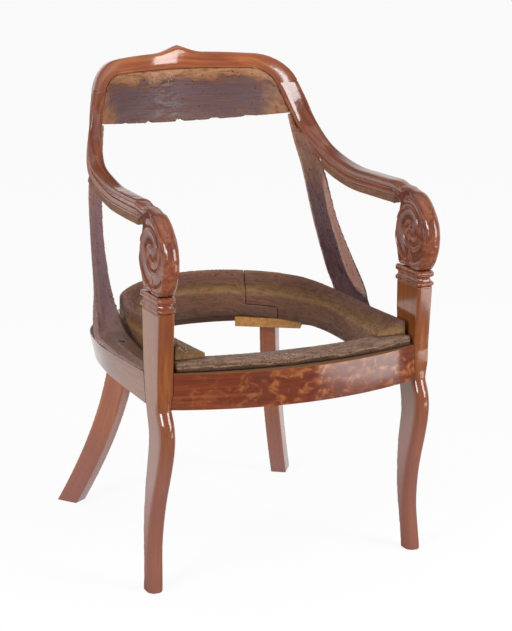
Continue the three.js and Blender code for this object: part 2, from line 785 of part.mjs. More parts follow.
function backBand(face, thickness, innerFlareShare) {
  const right = spread(9, (t) => (
    tubRing(THREE.MathUtils.lerp(backRailStartShare, 1, t), face, thickness, innerFlareShare)
  ));
  right[right.length - 1].forEach((point) => point.setX(0));
  const left = right.slice(0, -1).reverse();
  return loft([...right, ...left.map((ring) => ring.map((p) => new THREE.Vector3(-p.x, p.y, p.z)))]);
}

// Rear legs
const rearLegAlong = new THREE.Vector3(
  Math.cos(THREE.MathUtils.degToRad(rearLegTurnDegrees)),
  Math.sin(THREE.MathUtils.degToRad(rearLegTurnDegrees)),
  0,
);
const rearLegInward = new THREE.Vector3(-rearLegAlong.y, rearLegAlong.x, 0);
const rearLegPlace = tubPlan(rearLegShare).addScaledVector(tubInward(rearLegShare), rearLegInset);

function rearLeg(clearance) {
  const lower = spread(12, (t) => t * railBottomHeight);
  return loft([...lower, backRailTopHeight + clearance].map((height) => {
    const share = Math.max(0, 1 - height / railBottomHeight);
    const middle = rearLegPlace.clone().setZ(height)
      .addScaledVector(rearLegAlong, rearLegSweep * share ** rearLegSweepPower);
    const halfLength = rearLegLength / 2 + clearance;
    const halfThickness = rearLegThickness / 2 + clearance;
    return [[1, 1], [-1, 1], [-1, -1], [1, -1]].map(([a, b]) => middle.clone()
      .addScaledVector(rearLegAlong, a * halfLength)
      .addScaledVector(rearLegInward, b * halfThickness));
  }));
}

// Stiles
function stileEdge(key, share) {
  const rows = stileShares.map((row) => row[key]);
  const [across, depth, height, thickness] = smoothRow(rows, share);
  const rise = stileTopHeight - frontRailTopHeight;
  const point = new THREE.Vector3(
    across * tubHalfWidth,
    depth * tubBackReach,
    frontRailTopHeight + height * rise,
  );
  return { point, thickness: thickness * stileThickness };
}

function stileRing(share) {
  const step = 0.02;
  const inner = stileEdge('inner', share);
  const lip = stileEdge('lip', share);
  const crease = stileEdge('crease', share).point;
  const along = stileEdge('crease', share + step).point.sub(stileEdge('crease', share - step).point);
  const out = new THREE.Vector3().subVectors(lip.point, inner.point).cross(along).normalize();
  const behind = ({ point, thickness }) => {
    const back = point.clone().addScaledVector(out, thickness);
    return back.setZ(Math.max(back.z, sideRailTop(back.y) + jointGap));
  };
  return [inner.point, crease, lip.point, behind(lip), behind(inner)];
}

function stileLoft() {
  return loft(spread(36, stileRing));
}

// Loose seat frame
function frameRing(share, low, high) {
  const right = share > 0.5;
  const place = right ? 2 - 2 * share : 2 * share;
  const [outerX, outerY, innerX, innerY] = smoothRow(framePlanShares, place);
  const side = right ? 1 : -1;
  const outer = new THREE.Vector3(side * outerX * frameHalfWidth, outerY * frameBackReach, 0);
  const inner = new THREE.Vector3(side * innerX * frameHalfWidth, innerY * frameBackReach, 0);
  const rimRise = THREE.MathUtils.lerp(frameFrontRimRise, frameBackRimRise, Math.sin(place * Math.PI / 2));
  const top = frameTopShares.map(([out, rise]) => [out, frameLedgeHeight + rise * rimRise]);
  const profile = [[0, frameBottomHeight], ...top, [1, frameBottomHeight]];
  return profile.map(([out, z]) => inner.clone().lerp(outer, out).setZ(THREE.MathUtils.clamp(z, low, high)));
}

function frameBand(startShare, endShare, low, high, steps) {
  return loft(spread(steps, (t) => frameRing(startShare + (endShare - startShare) * t, low, high)));
}

function frameFrontFace(x) {
  return -frameFrontSetback + frameFrontBow * (x / frameHalfWidth) ** 2;
}

function frameFront(clearance) {
  const half = frameHalfWidth + clearance;
  const low = frontRailTopHeight + jointGap - clearance;
  return loft(spread(16, (t) => {
    const x = half * (2 * t - 1);
    const front = frameFrontFace(x) - clearance;
    const back = frameFrontFace(x) + frameFrontDepth + clearance;
    const top = frameFrontTopHeight + clearance;
    return [
      [front, low], [front, top - frameFrontCorner], [front + frameFrontCorner, top], [back, top], [back, low],
    ].map(([y, z]) => new THREE.Vector3(x, y, z));
  }));
}

// The space that the seat frame drops into, cut from the rear legs
function framePocket() {
  const low = frameBottomHeight - jointGap;
  const high = backRailTopHeight + overrun;
  const outline = spread(24, (t) => {
    const right = t > 0.5;
    const place = right ? 2 - 2 * t : 2 * t;
    const [outerX, outerY] = smoothRow(framePlanShares, place);
    return new THREE.Vector3((right ? 1 : -1) * outerX * frameHalfWidth, outerY * frameBackReach, 0);
  });
  const grow = 1 + framePocketClearance / frameBackReach;
  return loft([low, high].map((z) => outline.map((point) => new THREE.Vector3(point.x * grow, point.y * grow, z))));
}

// Left and right halves, lapped one over the other at the splice
function frameHalves() {
  const gapShare = jointGap / (Math.PI * frameBackReach);
  const lowShare = spliceLowShare + gapShare;
  const topHeight = crestPeakHeight;
  const leftFull = frameBand(0, spliceHighShare, frameBottomHeight, topHeight, 26);
  const leftTongue = frameBand(
    spliceHighShare - spliceRootShare,
    spliceLowShare,
    frameBottomHeight,
    frameSpliceHeight,
    4,
  );
  const rightFull = frameBand(lowShare, 1, frameBottomHeight, topHeight, 16);
  const rightTongue = frameBand(
    spliceHighShare + gapShare,
    lowShare + spliceRootShare,
    frameSpliceHeight + jointGap,
    topHeight,
    4,
  );
  const width = frameHalfWidth + overrun;
  const overFrontRail = block(
    new THREE.Vector3(-width, -frameFrontSetback - overrun, frameBottomHeight - overrun),
    new THREE.Vector3(width, -frameSideEndReach, frontRailTopHeight + jointGap),
  );
  return [join(leftFull, leftTongue), join(rightFull, rightTongue)]
    .map((half) => cut(half, frameFront(jointGap), overFrontRail));
}

function spliceBlock() {
  const ring = frameRing(spliceBlockShare, frameBottomHeight, crestPeakHeight);
  const inner = ring[0];
  const outward = ring[ring.length - 1].clone().sub(inner).setZ(0).normalize();
  const geometry = new THREE.BoxGeometry(spliceBlockDepth, spliceBlockLength, spliceBlockHeight);
  geometry.rotateZ(Math.atan2(outward.y, outward.x));
  const middle = inner.clone().addScaledVector(outward, spliceBlockDepth / 2);
  const height = frameBottomHeight - jointGap - spliceBlockHeight / 2;
  return { geometry: geometry.translate(middle.x, middle.y, height), middle, outward };
}

// Front corner blocks under the seat frame
function cornerBlockBody() {
  const cornerX = legInnerHalfWidth - jointGap;
  const endX = cornerX - blockLegLength;
  const railInnerFace = (x) => frontRailFace(x) + veneerStep + frontRailThickness;
  const sideEnd = railInnerFace(cornerX) + blockLegLength;
  const plan = [
    [cornerX + overrun, railInnerFace(cornerX) - overrun], [endX, railInnerFace(endX) - overrun],
    [endX, railInnerFace(endX) + blockEndThickness], [cornerX, sideEnd], [cornerX + overrun, sideEnd],
  ];
  const top = frameBottomHeight - jointGap;
  return loft([blockBottomHeight, top].map((z) => plan.map(([x, y]) => new THREE.Vector3(x, y, z))));
}

// Dowels: two across each rail joint, one in each crest and scroll joint
const frontRailDowels = [-1, 1].map((side) => {
  const x = legInnerHalfWidth;
  const y = frontRailFace(x) + veneerStep + frontRailThickness / 2;
  const z = (railBottomHeight + frontRailTopHeight + side * dowelSpread) / 2;
  return { middle: new THREE.Vector3(x, y, z), direction: new THREE.Vector3(1, 0, 0) };
});
const sideFrontDowels = [-1, 1].map((side) => {
  const x = legOuterHalfWidth - veneerStep - sideRailThickness / 2;
  const z = (railBottomHeight + sideRailFrontTopHeight + side * dowelSpread) / 2;
  return { middle: new THREE.Vector3(x, -legBackSetback, z), direction: new THREE.Vector3(0, 1, 0) };
});
const [sideRearDowels, backDowels] = [-1, 1].map((inwardSide) => [-1, 1].map((side) => {
  const z = (backRailBottomHeight + frameBottomHeight + side * rearDowelSpread) / 2;
  const middle = rearLegPlace.clone().setZ(z)
    .addScaledVector(rearLegInward, inwardSide * rearLegThickness / 2);
  return { middle, direction: rearLegInward, length: rearDowelLength, radius: rearDowelRadius };
}));
const crestDowel = {
  middle: armPath(0).addScaledVector(armAxes(0).down, crestThickness / 2),
  direction: armAlong(0),
};
const scrollDowel = {
  middle: new THREE.Vector3(legMiddleHalfWidth, -voluteSetback, (collarBottomHeight + collarTopHeight) / 2),
  direction: new THREE.Vector3(0, 0, 1),
  length: collarHeight + 2 * scrollDowelDepth,
};

function dowelBody({ middle, direction, length = dowelLength, radius = dowelRadius }, clearance) {
  return peg(middle, direction, length + 2 * clearance, radius + clearance);
}

function holes(...dowels) {
  return dowels.map((dowel) => dowelBody(dowel, jointGap));
}

// Screws and nails
const screwSize = {
  length: screwLength, radius: screwRadius, headRadius: screwHeadRadius, headHeight: screwHeadHeight,
};
const nailSize = {
  length: nailLength, radius: nailRadius, headRadius: nailHeadRadius, headHeight: nailHeadHeight,
};
const blockMiddleHeight = (blockBottomHeight + frameBottomHeight) / 2;
const blockScrews = [
  {
    start: new THREE.Vector3(
      legInnerHalfWidth - blockLegLength / 2,
      -frontRailEndSetback + frontRailThickness + frontScrewInset,
      blockMiddleHeight,
    ),
    direction: new THREE.Vector3(0, -1, 0),
    size: screwSize,
  },
  {
    start: new THREE.Vector3(
      legInnerHalfWidth - blockScrewInset,
      -legBackSetback + blockScrewInset,
      blockMiddleHeight,
    ),
    direction: new THREE.Vector3(1, 0, 0),
    size: screwSize,
  },
];
const [screwInner, screwCrease] = stileRing(stileScrewAlongShare);
const stileScrew = {
  start: screwCrease.clone().lerp(screwInner, stileScrewAcrossShare),
  direction: new THREE.Vector3(0, 0, -1),
  size: screwSize,
};
stileScrew.start.z -= jointGap;
const splice = spliceBlock();
const spliceNails = [-1, 1].map((side) => {
  const along = new THREE.Vector3(-splice.outward.y, splice.outward.x, 0);
  const start = splice.middle.clone().addScaledVector(along, side * spliceBlockLength / 4);
  start.z = frameBottomHeight - jointGap - spliceBlockHeight;
  return { start, direction: new THREE.Vector3(0, 0, 1), size: nailSize };
});

// Assembly
function bothSides(...cutters) {
  return cutters.flatMap((cutter) => [cutter, mirrored(cutter)]);
}

const armCutter = armSweep(jointGap);
const legCutter = frontLeg(jointGap);
const rearLegCutter = rearLeg(jointGap);
const stileScrewHole = fixingHole(stileScrew);

addPiece('crest_rail', cut(crestRail(), ...bothSides(...holes(crestDowel))), mahogany);
addPiece('crest_tack_panel', cut(tackPanel(), ...bothSides(armCutter)), tackedWood);
addPair('arm', cut(armWithScroll(), ...holes(crestDowel, scrollDowel)), mahogany);
addPair('arm_tack_strip', cut(armTackStrip(), armCutter), secondaryWood);
addPair('stile', cut(stileLoft(), armCutter, legCutter, stileScrewHole), tackedWood);
addPair('front_leg', cut(frontLeg(0), ...holes(...frontRailDowels, ...sideFrontDowels, scrollDowel)), mahogany);
addPair('collar', cut(collar(), ...holes(scrollDowel)), mahogany);
addPair('rear_leg', cut(rearLeg(0), framePocket(), ...holes(...sideRearDowels, ...backDowels)), mahogany);

const frontRail = frontBand(veneerStep, frontRailThickness, railBottomHeight, frontRailTopHeight);
const frontRailHoles = [...holes(...frontRailDowels), fixing(blockScrews[0], jointGap)];
addPiece('front_seat_rail', cut(frontRail, ...bothSides(legCutter, ...frontRailHoles)), secondaryWood);
const frontVeneer = frontBand(0, veneerThickness, railBottomHeight, frontRailTopHeight);
addPiece('front_rail_veneer', cut(frontVeneer, ...bothSides(legCutter)), flameVeneer);

const sideRailHoles = [
  ...holes(...sideFrontDowels, ...sideRearDowels), fixing(blockScrews[1], jointGap), stileScrewHole,
];
const sideRail = tubBand(sideRailEndShare, 0, veneerStep, sideRailThickness, 0);
addPair('side_rail', cut(sideRail, legCutter, rearLegCutter, ...sideRailHoles), secondaryWood);
const sideVeneer = tubBand(0, sideRailEndShare, 0, veneerThickness, 1);
addPair('side_rail_veneer', cut(sideVeneer, legCutter, rearLegCutter), mahogany);
const backRail = backBand(veneerStep, sideRailThickness, 0);
addPiece('back_seat_rail', cut(backRail, ...bothSides(rearLegCutter, ...holes(...backDowels))), secondaryWood);
addPiece('back_rail_veneer', cut(backBand(0, veneerThickness, 1), ...bothSides(rearLegCutter)), mahogany);

const throughFrontRail = 2 * overrun + veneerStep + frontRailThickness + jointGap;
const cornerBlock = cut(
  cornerBlockBody(),
  frontBand(-2 * overrun, throughFrontRail, railBottomHeight - overrun, frontRailTopHeight),
  tubBand(0, sideRailEndShare, veneerStep - 2 * overrun, sideRailThickness + 2 * overrun + jointGap, 0),
  legCutter,
  ...blockScrews.map(fixingHole),
);
addPair('front_corner_block', cornerBlock, secondaryWood);

blockScrews.forEach((screw, i) => addPair(`block_screw_${i + 1}`, fixing(screw, 0), ironwork));
addPair('stile_screw', fixing(stileScrew, 0), ironwork);
const addDowels = (name, dowels) => dowels.forEach((dowel, i) => {
  const number = dowels.length > 1 ? `_${i + 1}` : '';
  addPair(`${name}${number}`, dowelBody(dowel, 0), dowelWood);
});
addDowels('crest_dowel', [crestDowel]);
addDowels('scroll_dowel', [scrollDowel]);
addDowels('front_rail_dowel', frontRailDowels);
addDowels('side_rail_front_dowel', sideFrontDowels);
addDowels('side_rail_rear_dowel', sideRearDowels);
addDowels('back_rail_dowel', backDowels);

const nailHoles = spliceNails.map((nail) => fixing(nail, jointGap));
const [leftHalf, rightHalf] = frameHalves();
addPiece('seat_frame_back_left', cut(leftHalf, ...nailHoles), secondaryWood);
addPiece('seat_frame_back_right', cut(rightHalf, ...nailHoles), secondaryWood);
addPiece('seat_frame_front', frameFront(0), secondaryWood);
addPiece('seat_frame_splice_block', cut(splice.geometry, ...nailHoles), paleBlockWood);
spliceNails.forEach((nail, i) => addPiece(`seat_frame_nail_${i + 1}`, fixing(nail, 0), ironwork));

// Origin at the middle of the footprint, on the floor
const box = new THREE.Box3().setFromObject(chair);
const middle = box.getCenter(new THREE.Vector3());
chair.position.set(-middle.x, -middle.y, -box.min.z);
chair.updateMatrixWorld(true);

export default chair;
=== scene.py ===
"""Looks of a late Classical open armchair, shown bare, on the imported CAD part.

Each CAD node that shows is copied, merged and smoothed, given coordinates that follow its
grain, and dressed in one of the finishes. The carved volutes, the tack holes and the loose
fibres of the old upholstery are made here. Lengths are in metres.
"""

import json
import logging
import math
from abc import ABC, abstractmethod
from collections.abc import Callable
from dataclasses import dataclass
from enum import Enum
from functools import partial
from typing import ClassVar

import bmesh
import bpy
import numpy as np
from mathutils import Matrix, Vector

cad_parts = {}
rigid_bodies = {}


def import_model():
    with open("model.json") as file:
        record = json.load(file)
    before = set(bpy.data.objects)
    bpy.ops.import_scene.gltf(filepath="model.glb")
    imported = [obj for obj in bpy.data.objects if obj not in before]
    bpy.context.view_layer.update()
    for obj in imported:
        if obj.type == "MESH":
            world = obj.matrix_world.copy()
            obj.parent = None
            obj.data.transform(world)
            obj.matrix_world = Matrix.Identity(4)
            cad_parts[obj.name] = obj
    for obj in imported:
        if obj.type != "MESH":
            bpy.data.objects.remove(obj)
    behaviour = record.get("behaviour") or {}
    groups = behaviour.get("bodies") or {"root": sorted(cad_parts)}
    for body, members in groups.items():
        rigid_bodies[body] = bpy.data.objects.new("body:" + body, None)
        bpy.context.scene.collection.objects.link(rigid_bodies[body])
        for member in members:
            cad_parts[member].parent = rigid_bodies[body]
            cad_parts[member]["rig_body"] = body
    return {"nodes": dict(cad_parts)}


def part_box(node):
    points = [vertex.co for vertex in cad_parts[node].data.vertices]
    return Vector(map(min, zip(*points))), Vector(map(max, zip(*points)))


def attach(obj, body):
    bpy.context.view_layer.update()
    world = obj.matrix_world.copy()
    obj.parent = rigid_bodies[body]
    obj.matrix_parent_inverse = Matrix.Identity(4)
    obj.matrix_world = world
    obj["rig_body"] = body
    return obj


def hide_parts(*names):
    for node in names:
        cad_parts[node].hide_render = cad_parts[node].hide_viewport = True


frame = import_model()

log = logging.getLogger("armchair")

Mesh, Node, Object = bpy.types.Mesh, bpy.types.Node, bpy.types.Object
Socket = bpy.types.NodeSocket
Add = Callable[..., Node]
Triple = tuple[float, float, float]
Fades = tuple[tuple[int, float, float], ...]

MERGE_DISTANCE = 5e-6
TURN = 2 * math.pi
SMOOTH = {"interpolation_type": "SMOOTHSTEP"}
COLOURS = {"data_type": "RGBA"}
NUMBERS = {"data_type": "FLOAT"}
VECTORS = {"data_type": "FLOAT_VECTOR"}


class Along(Enum):
    """The way that a piece's grain runs, as weights of X, Y and Z."""

    ACROSS = (1, 0, 0)
    DEPTH = (0, 1, 0)
    HEIGHT = (0, 0, 1)
    # Up and back, as in the stiles
    RAKE = (0, 1, 1)
    # Round the middle of the seat
    ROUND = (0, 0, 0)


def linear(hex_colour: str) -> tuple[float, float, float, float]:
    """Turns an sRGB hex colour into linear values.

    Args:
        hex_colour: A colour such as "#8f4529".

    Returns:
        Red, green and blue in linear light, and an alpha of one.
    """
    values = [int(hex_colour[i : i + 2], 16) / 255 for i in (1, 3, 5)]
    red, green, blue = (v / 12.92 if v <= 0.04045 else ((v + 0.055) / 1.055) ** 2.4 for v in values)
    return red, green, blue, 1.0


def add_node(
    tree: bpy.types.NodeTree, kind: str, settings: dict | str, *values: object, **named: object
) -> Node:
    """Adds a node with its settings and inputs.

    Args:
        tree: The tree that gets the node.
        kind: The node's type name, without "ShaderNode" where it starts so.
        settings: Properties by name, or the operation alone. "stops" holds a ramp's places
            and hex colours.
        values: For the inputs in use, in order, a value to set, or a socket or node to link.
        named: The same by input name, with _ for a space.

    Returns:
        The new node.
    """
    node = tree.nodes.new(kind if "Node" in kind else f"ShaderNode{kind}")
    settings = {"operation": settings} if isinstance(settings, str) else settings
    for name, value in settings.items():
        if name == "stops":
            ramp = node.color_ramp.elements
            while len(ramp) < len(value):
                ramp.new(1.0)
            for element, (place, colour) in zip(ramp, value):
                element.position, element.color = place, linear(colour)
        else:
            setattr(node, name, value)
    given = list(zip((socket for socket in node.inputs if socket.enabled), values))
    given += [(node.inputs[name.replace("_", " ")], value) for name, value in named.items()]
    for socket, value in given:
        if isinstance(value, Node):
            value = next(output for output in value.outputs if output.enabled)
        if isinstance(value, Socket):
            tree.links.new(value, socket)
        else:
            socket.default_value = value
    return node


def linked(name: str, data: bpy.types.ID) -> Object:
    """Makes an object and links it to the scene.

    Args:
        name: The object's name.
        data: Its mesh, lamp or camera.

    Returns:
        The object.
    """
    made = bpy.data.objects.new(name, data)
    bpy.context.scene.collection.objects.link(made)
    return made


def vertex_array(mesh: Mesh) -> np.ndarray:
    """Reads a mesh's vertices.

    Args:
        mesh: The mesh.

    Returns:
        Their places as rows of three.
    """
    places = np.zeros(len(mesh.vertices) * 3, np.float32)
    mesh.vertices.foreach_get("co", places)
    return places.reshape(-1, 3).astype(float)


def move_vertices(mesh: Mesh, points: np.ndarray) -> None:
    """Writes new places for a mesh's vertices."""
    mesh.vertices.foreach_set("co", points.astype(np.float32).ravel())
    mesh.update()


def write_attribute(mesh: Mesh, name: str, values: np.ndarray) -> None:
    """Writes one number or one vector for each vertex.

    Args:
        mesh: The mesh that gets the attribute.
        name: The attribute's name.
        values: One row for each vertex.
    """
    kind, key = ("FLOAT_VECTOR", "vector") if values.ndim == 2 else ("FLOAT", "value")
    attribute = mesh.attributes.get(name) or mesh.attributes.new(name, kind, "POINT")
    attribute.data.foreach_set(key, values.astype(np.float32).ravel())


@dataclass(frozen=True)
class GrainMap:
    """Coordinates that follow a bent piece.

    It writes "grain", the distance along the piece and the two distances from its middle
    line, and "share", the same three as shares of the piece's length, height and depth.
    """

    along: Along
    slices: int = 32
    tiny: float = 1e-9
    thin: float = 1e-6

    def station(self, points: np.ndarray) -> np.ndarray:
        """Returns how far along the piece each point is, in a measure that only grows."""
        around = np.arctan2(points[:, 0], -points[:, 1]) % TURN
        return around if self.along is Along.ROUND else points @ np.array(self.along.value, float)

    def write(self, mesh: Mesh) -> None:
        """Works out both attributes and writes them.

        Args:
            mesh: The mesh that gets them.
        """
        points = vertex_array(mesh)
        station = self.station(points)
        edges = np.linspace(station.min(), station.max() + self.tiny, self.slices + 1)
        middles = (edges[1:] + edges[:-1]) / 2
        row = np.clip(np.digitize(station, edges) - 1, 0, self.slices - 1)
        count = np.bincount(row, minlength=self.slices)
        full = count > 0
        means = [np.bincount(row, axis, self.slices)[full] / count[full] for axis in points.T]
        line = np.stack([np.interp(middles, middles[full], mean) for mean in means], axis=1)
        line[1:-1] = (line[:-2] + line[1:-1] + line[2:]) / 3
        steps = np.linalg.norm(np.diff(line, axis=0), axis=1)
        lengths = np.concatenate([[0], np.cumsum(steps)])
        read = lambda table: np.stack([np.interp(station, middles, c) for c in table.T], axis=1)
        tangent = read(np.gradient(line, axis=0))
        tangent /= np.linalg.norm(tangent, axis=1)[:, None] + self.tiny
        level = self.along in (Along.ACROSS, Along.ROUND)
        guide = np.array([0, 0, 1.0]) if level else np.array([1.0, 0, 0])
        rise = guide - tangent * (tangent @ guide)[:, None]
        rise /= np.linalg.norm(rise, axis=1)[:, None]
        offset = points - read(line)
        axes = (tangent, rise, np.cross(tangent, rise))
        grain = np.stack([(offset * axis).sum(1) for axis in axes], axis=1)
        grain[:, 0] += np.interp(station, middles, lengths)
        share = np.zeros_like(grain)
        share[:, 0] = (grain[:, 0] - grain[:, 0].min()) / (np.ptp(grain[:, 0]) + self.tiny)
        for k in (1, 2):
            low, high = np.full(self.slices, np.inf), np.full(self.slices, -np.inf)
            np.minimum.at(low, row, grain[:, k])
            np.maximum.at(high, row, grain[:, k])
            low = np.min([np.roll(low, i) for i in (-1, 0, 1)], axis=0)
            high = np.max([np.roll(high, i) for i in (-1, 0, 1)], axis=0)
            full = high > low + self.thin
            low, high = (np.interp(station, middles[full], end[full]) for end in (low, high))
            share[:, k] = np.clip((grain[:, k] - low) / (high - low), 0, 1)
        write_attribute(mesh, "grain", grain)
        write_attribute(mesh, "share", share)


@dataclass(frozen=True)
class Finish(ABC):
    """A finish: its material's name, the record's slot, and how nodes make it."""

    name: str
    slot: str

    def material(self) -> bpy.types.Material:
        """Builds the material once.

        Returns:
            The material.
        """
        if self.name in bpy.data.materials:
            return bpy.data.materials[self.name]
        made = bpy.data.materials.new(self.name)
        add = emptied(made)
        add("OutputMaterial", {}, self.shader(add))
        return made

    @abstractmethod
    def shader(self, add: Add) -> Node:
        """Adds the finish's nodes and returns the last of them."""


def emptied(owner: bpy.types.Material | bpy.types.World) -> Add:
    """Empties a material's or a world's tree.

    Args:
        owner: The material or world.

    Returns:
        What adds a node to its tree.
    """
    owner.use_nodes = True
    owner.node_tree.nodes.clear()
    return partial(add_node, owner.node_tree)


def stretched_noise(
    add: Add, vector: Socket, lengths: Triple, detail: float, distortion: float
) -> Node:
    """Adds noise whose grains have real lengths.

    Args:
        add: Adds a node to the material.
        vector: The coordinates, in metres.
        lengths: The grain's length along each of them.
        detail: The noise's detail.
        distortion: The noise's distortion.

    Returns:
        The noise.
    """
    per_metre = tuple(1 / length for length in lengths)
    scaled = add("VectorMath", "MULTIPLY", vector, per_metre)
    noise = {"Scale": 1.0, "Detail": detail, "Distortion": distortion}
    return add("TexNoise", {}, Vector=scaled, **noise)


def layered(add: Add, colour: Node, layers: list[tuple[Node | Socket, Node | str]]) -> Node:
    """Lays colours over each other, each by its own share.

    Args:
        add: Adds a node to the material.
        colour: The colour underneath.
        layers: From the bottom up, each share with its colour, made by nodes or in hex.

    Returns:
        The colour of all layers together.
    """
    for share, tint in layers:
        over = linear(tint) if isinstance(tint, str) else tint
        colour = add("Mix", COLOURS, share, colour, over)
    return colour


@dataclass(frozen=True)
class PolishedWood(Finish):
    """Mahogany under old shellac polish.

    The eye sees a deep red-brown with long light and dark streaks, short dark pores, and a
    wet gloss that is a little wavy.
    """

    name: str = "mahogany_shellac_polished"
    slot: str = "polished_mahogany"
    dark: str = "#653222"
    middle: str = "#7c442f"
    light: str = "#925738"
    figure_stops: Triple = (0.3, 0.5, 0.7)
    figure_length: float = 0.22
    figure_width: float = 0.009
    age: str = "#583026"
    age_share: float = 0.45
    cloud_size: float = 0.09
    # The foot's redder, duller colour: full at the first height, gone at the second
    foot: str = ""
    foot_heights: tuple[float, float] = (0.18, 0.36)
    foot_share: float = 0.7
    # Real pores are about 0.2 mm wide and wouldn't show, so they are drawn wider
    pore_length: float = 0.009
    pore_width: float = 0.0008
    pore_share: float = 0.25
    # Crotch veneer: the mottle's share, size and colours, its share at the plain end, its edge
    flame: float = 0.0
    flame_size: tuple[float, float] = (0.021, 0.016)
    flame_dark: str = "#5a2916"
    flame_light: str = "#ae6e3d"
    flame_stops: Triple = (0.34, 0.52, 0.74)
    plain_end: float = 0.3
    edge_colour: str = "#c06a2e"
    edge_facing: float = 0.6
    # Both ends go over to the neighbour's colour, between these distances from the middle
    end_colour: str = ""
    end_shares: tuple[float, float] = (0.26, 0.5)
    # Painted shade in the carved grooves of the volutes
    groove_shade_colour: str = "#4a1a10"
    wear_size: Triple = (0.05, 0.03, 0.03)
    wave_size: Triple = (0.03, 0.02, 0.02)
    polish: tuple[float, float] = (0.07, 0.16)
    coat: float = 0.45
    coat_roughness: float = 0.07

    def shader(self, add: Add) -> Node:
        """Lays figure, age, flames, ends, foot, pores and the painted shade of the carved grooves
        over each other.

        Args:
            add: Adds a node to the material.

        Returns:
            The shader.
        """
        grain = add("Attribute", {"attribute_name": "grain"}).outputs["Vector"]
        share = add("Attribute", {"attribute_name": "share"}).outputs["Vector"]
        hollow = add("Attribute", {"attribute_name": "hollow"}).outputs["Fac"]
        along = add("SeparateXYZ", {}, share)
        noise = partial(stretched_noise, add, grain)
        clouds = noise((self.cloud_size,) * 3, 2.0, 0.4)
        aged = add("MapRange", SMOOTH, clouds, 0.45, 0.72, 0.0, self.age_share)
        layers = [(aged, self.age)]
        if self.flame:
            width, height = self.flame_size
            licks = noise((width, height, height), 4.0, 0.9)
            stops = zip(self.flame_stops, (self.flame_dark, self.middle, self.flame_light))
            mottle = add("ValToRGB", {"stops": list(stops)}, licks)
            shares = self.plain_end * self.flame, self.flame
            strength = add("MapRange", SMOOTH, along, 0.1, 0.5, *shares)
            normal = add("NewGeometry", {}).outputs["Normal"]
            up = add("SeparateXYZ", {}, normal).outputs[2]
            edge = add("Math", "GREATER_THAN", up, self.edge_facing)
            layers += [(strength, mottle), (edge, self.edge_colour)]
        if self.end_colour:
            far = add("Math", "ABSOLUTE", add("Math", "SUBTRACT", along, 0.5))
            ends = add("MapRange", SMOOTH, far, *self.end_shares)
            layers.append((ends, self.end_colour))
        if self.foot:
            place = add("TexCoord", {}).outputs["Object"]
            height = add("SeparateXYZ", {}, place).outputs[2]
            full, gone = self.foot_heights
            low = add("MapRange", SMOOTH, height, gone, full, 0.0, self.foot_share)
            layers.append((low, self.foot))
        pores = noise((self.pore_length, self.pore_width, self.pore_width), 1.0, 0.0)
        pitted = add("MapRange", {}, pores, 0.6, 0.72, 0.0, self.pore_share)
        # Dark pores, then painted shade in the carved grooves
        layers += [(pitted, self.dark), (hollow, self.groove_shade_colour)]
        streaks = noise((self.figure_length, self.figure_width, self.figure_width), 4.0, 0.8)
        stops = zip(self.figure_stops, (self.dark, self.middle, self.light))
        figure = add("ValToRGB", {"stops": list(stops)}, streaks)
        worn, wave = noise(self.wear_size, 3.0, 0.3), noise(self.wave_size, 1.0, 0.0)
        ripple = add("Bump", {}, Strength=0.12, Distance=0.0006, Height=wave)
        sunk = {"Strength": 0.3, "Distance": 0.0002, "Height": pitted, "Normal": ripple}
        return add(
            "BsdfPrincipled",
            {},
            Base_Color=layered(add, figure, layers),
            Roughness=add("MapRange", {}, worn, 0.3, 0.7, *self.polish),
            Normal=add("Bump", {"invert": True}, **sunk),
            IOR=1.5,
            Specular_IOR_Level=0.5,
            Coat_Weight=self.coat,
            Coat_Roughness=self.coat_roughness,
        )


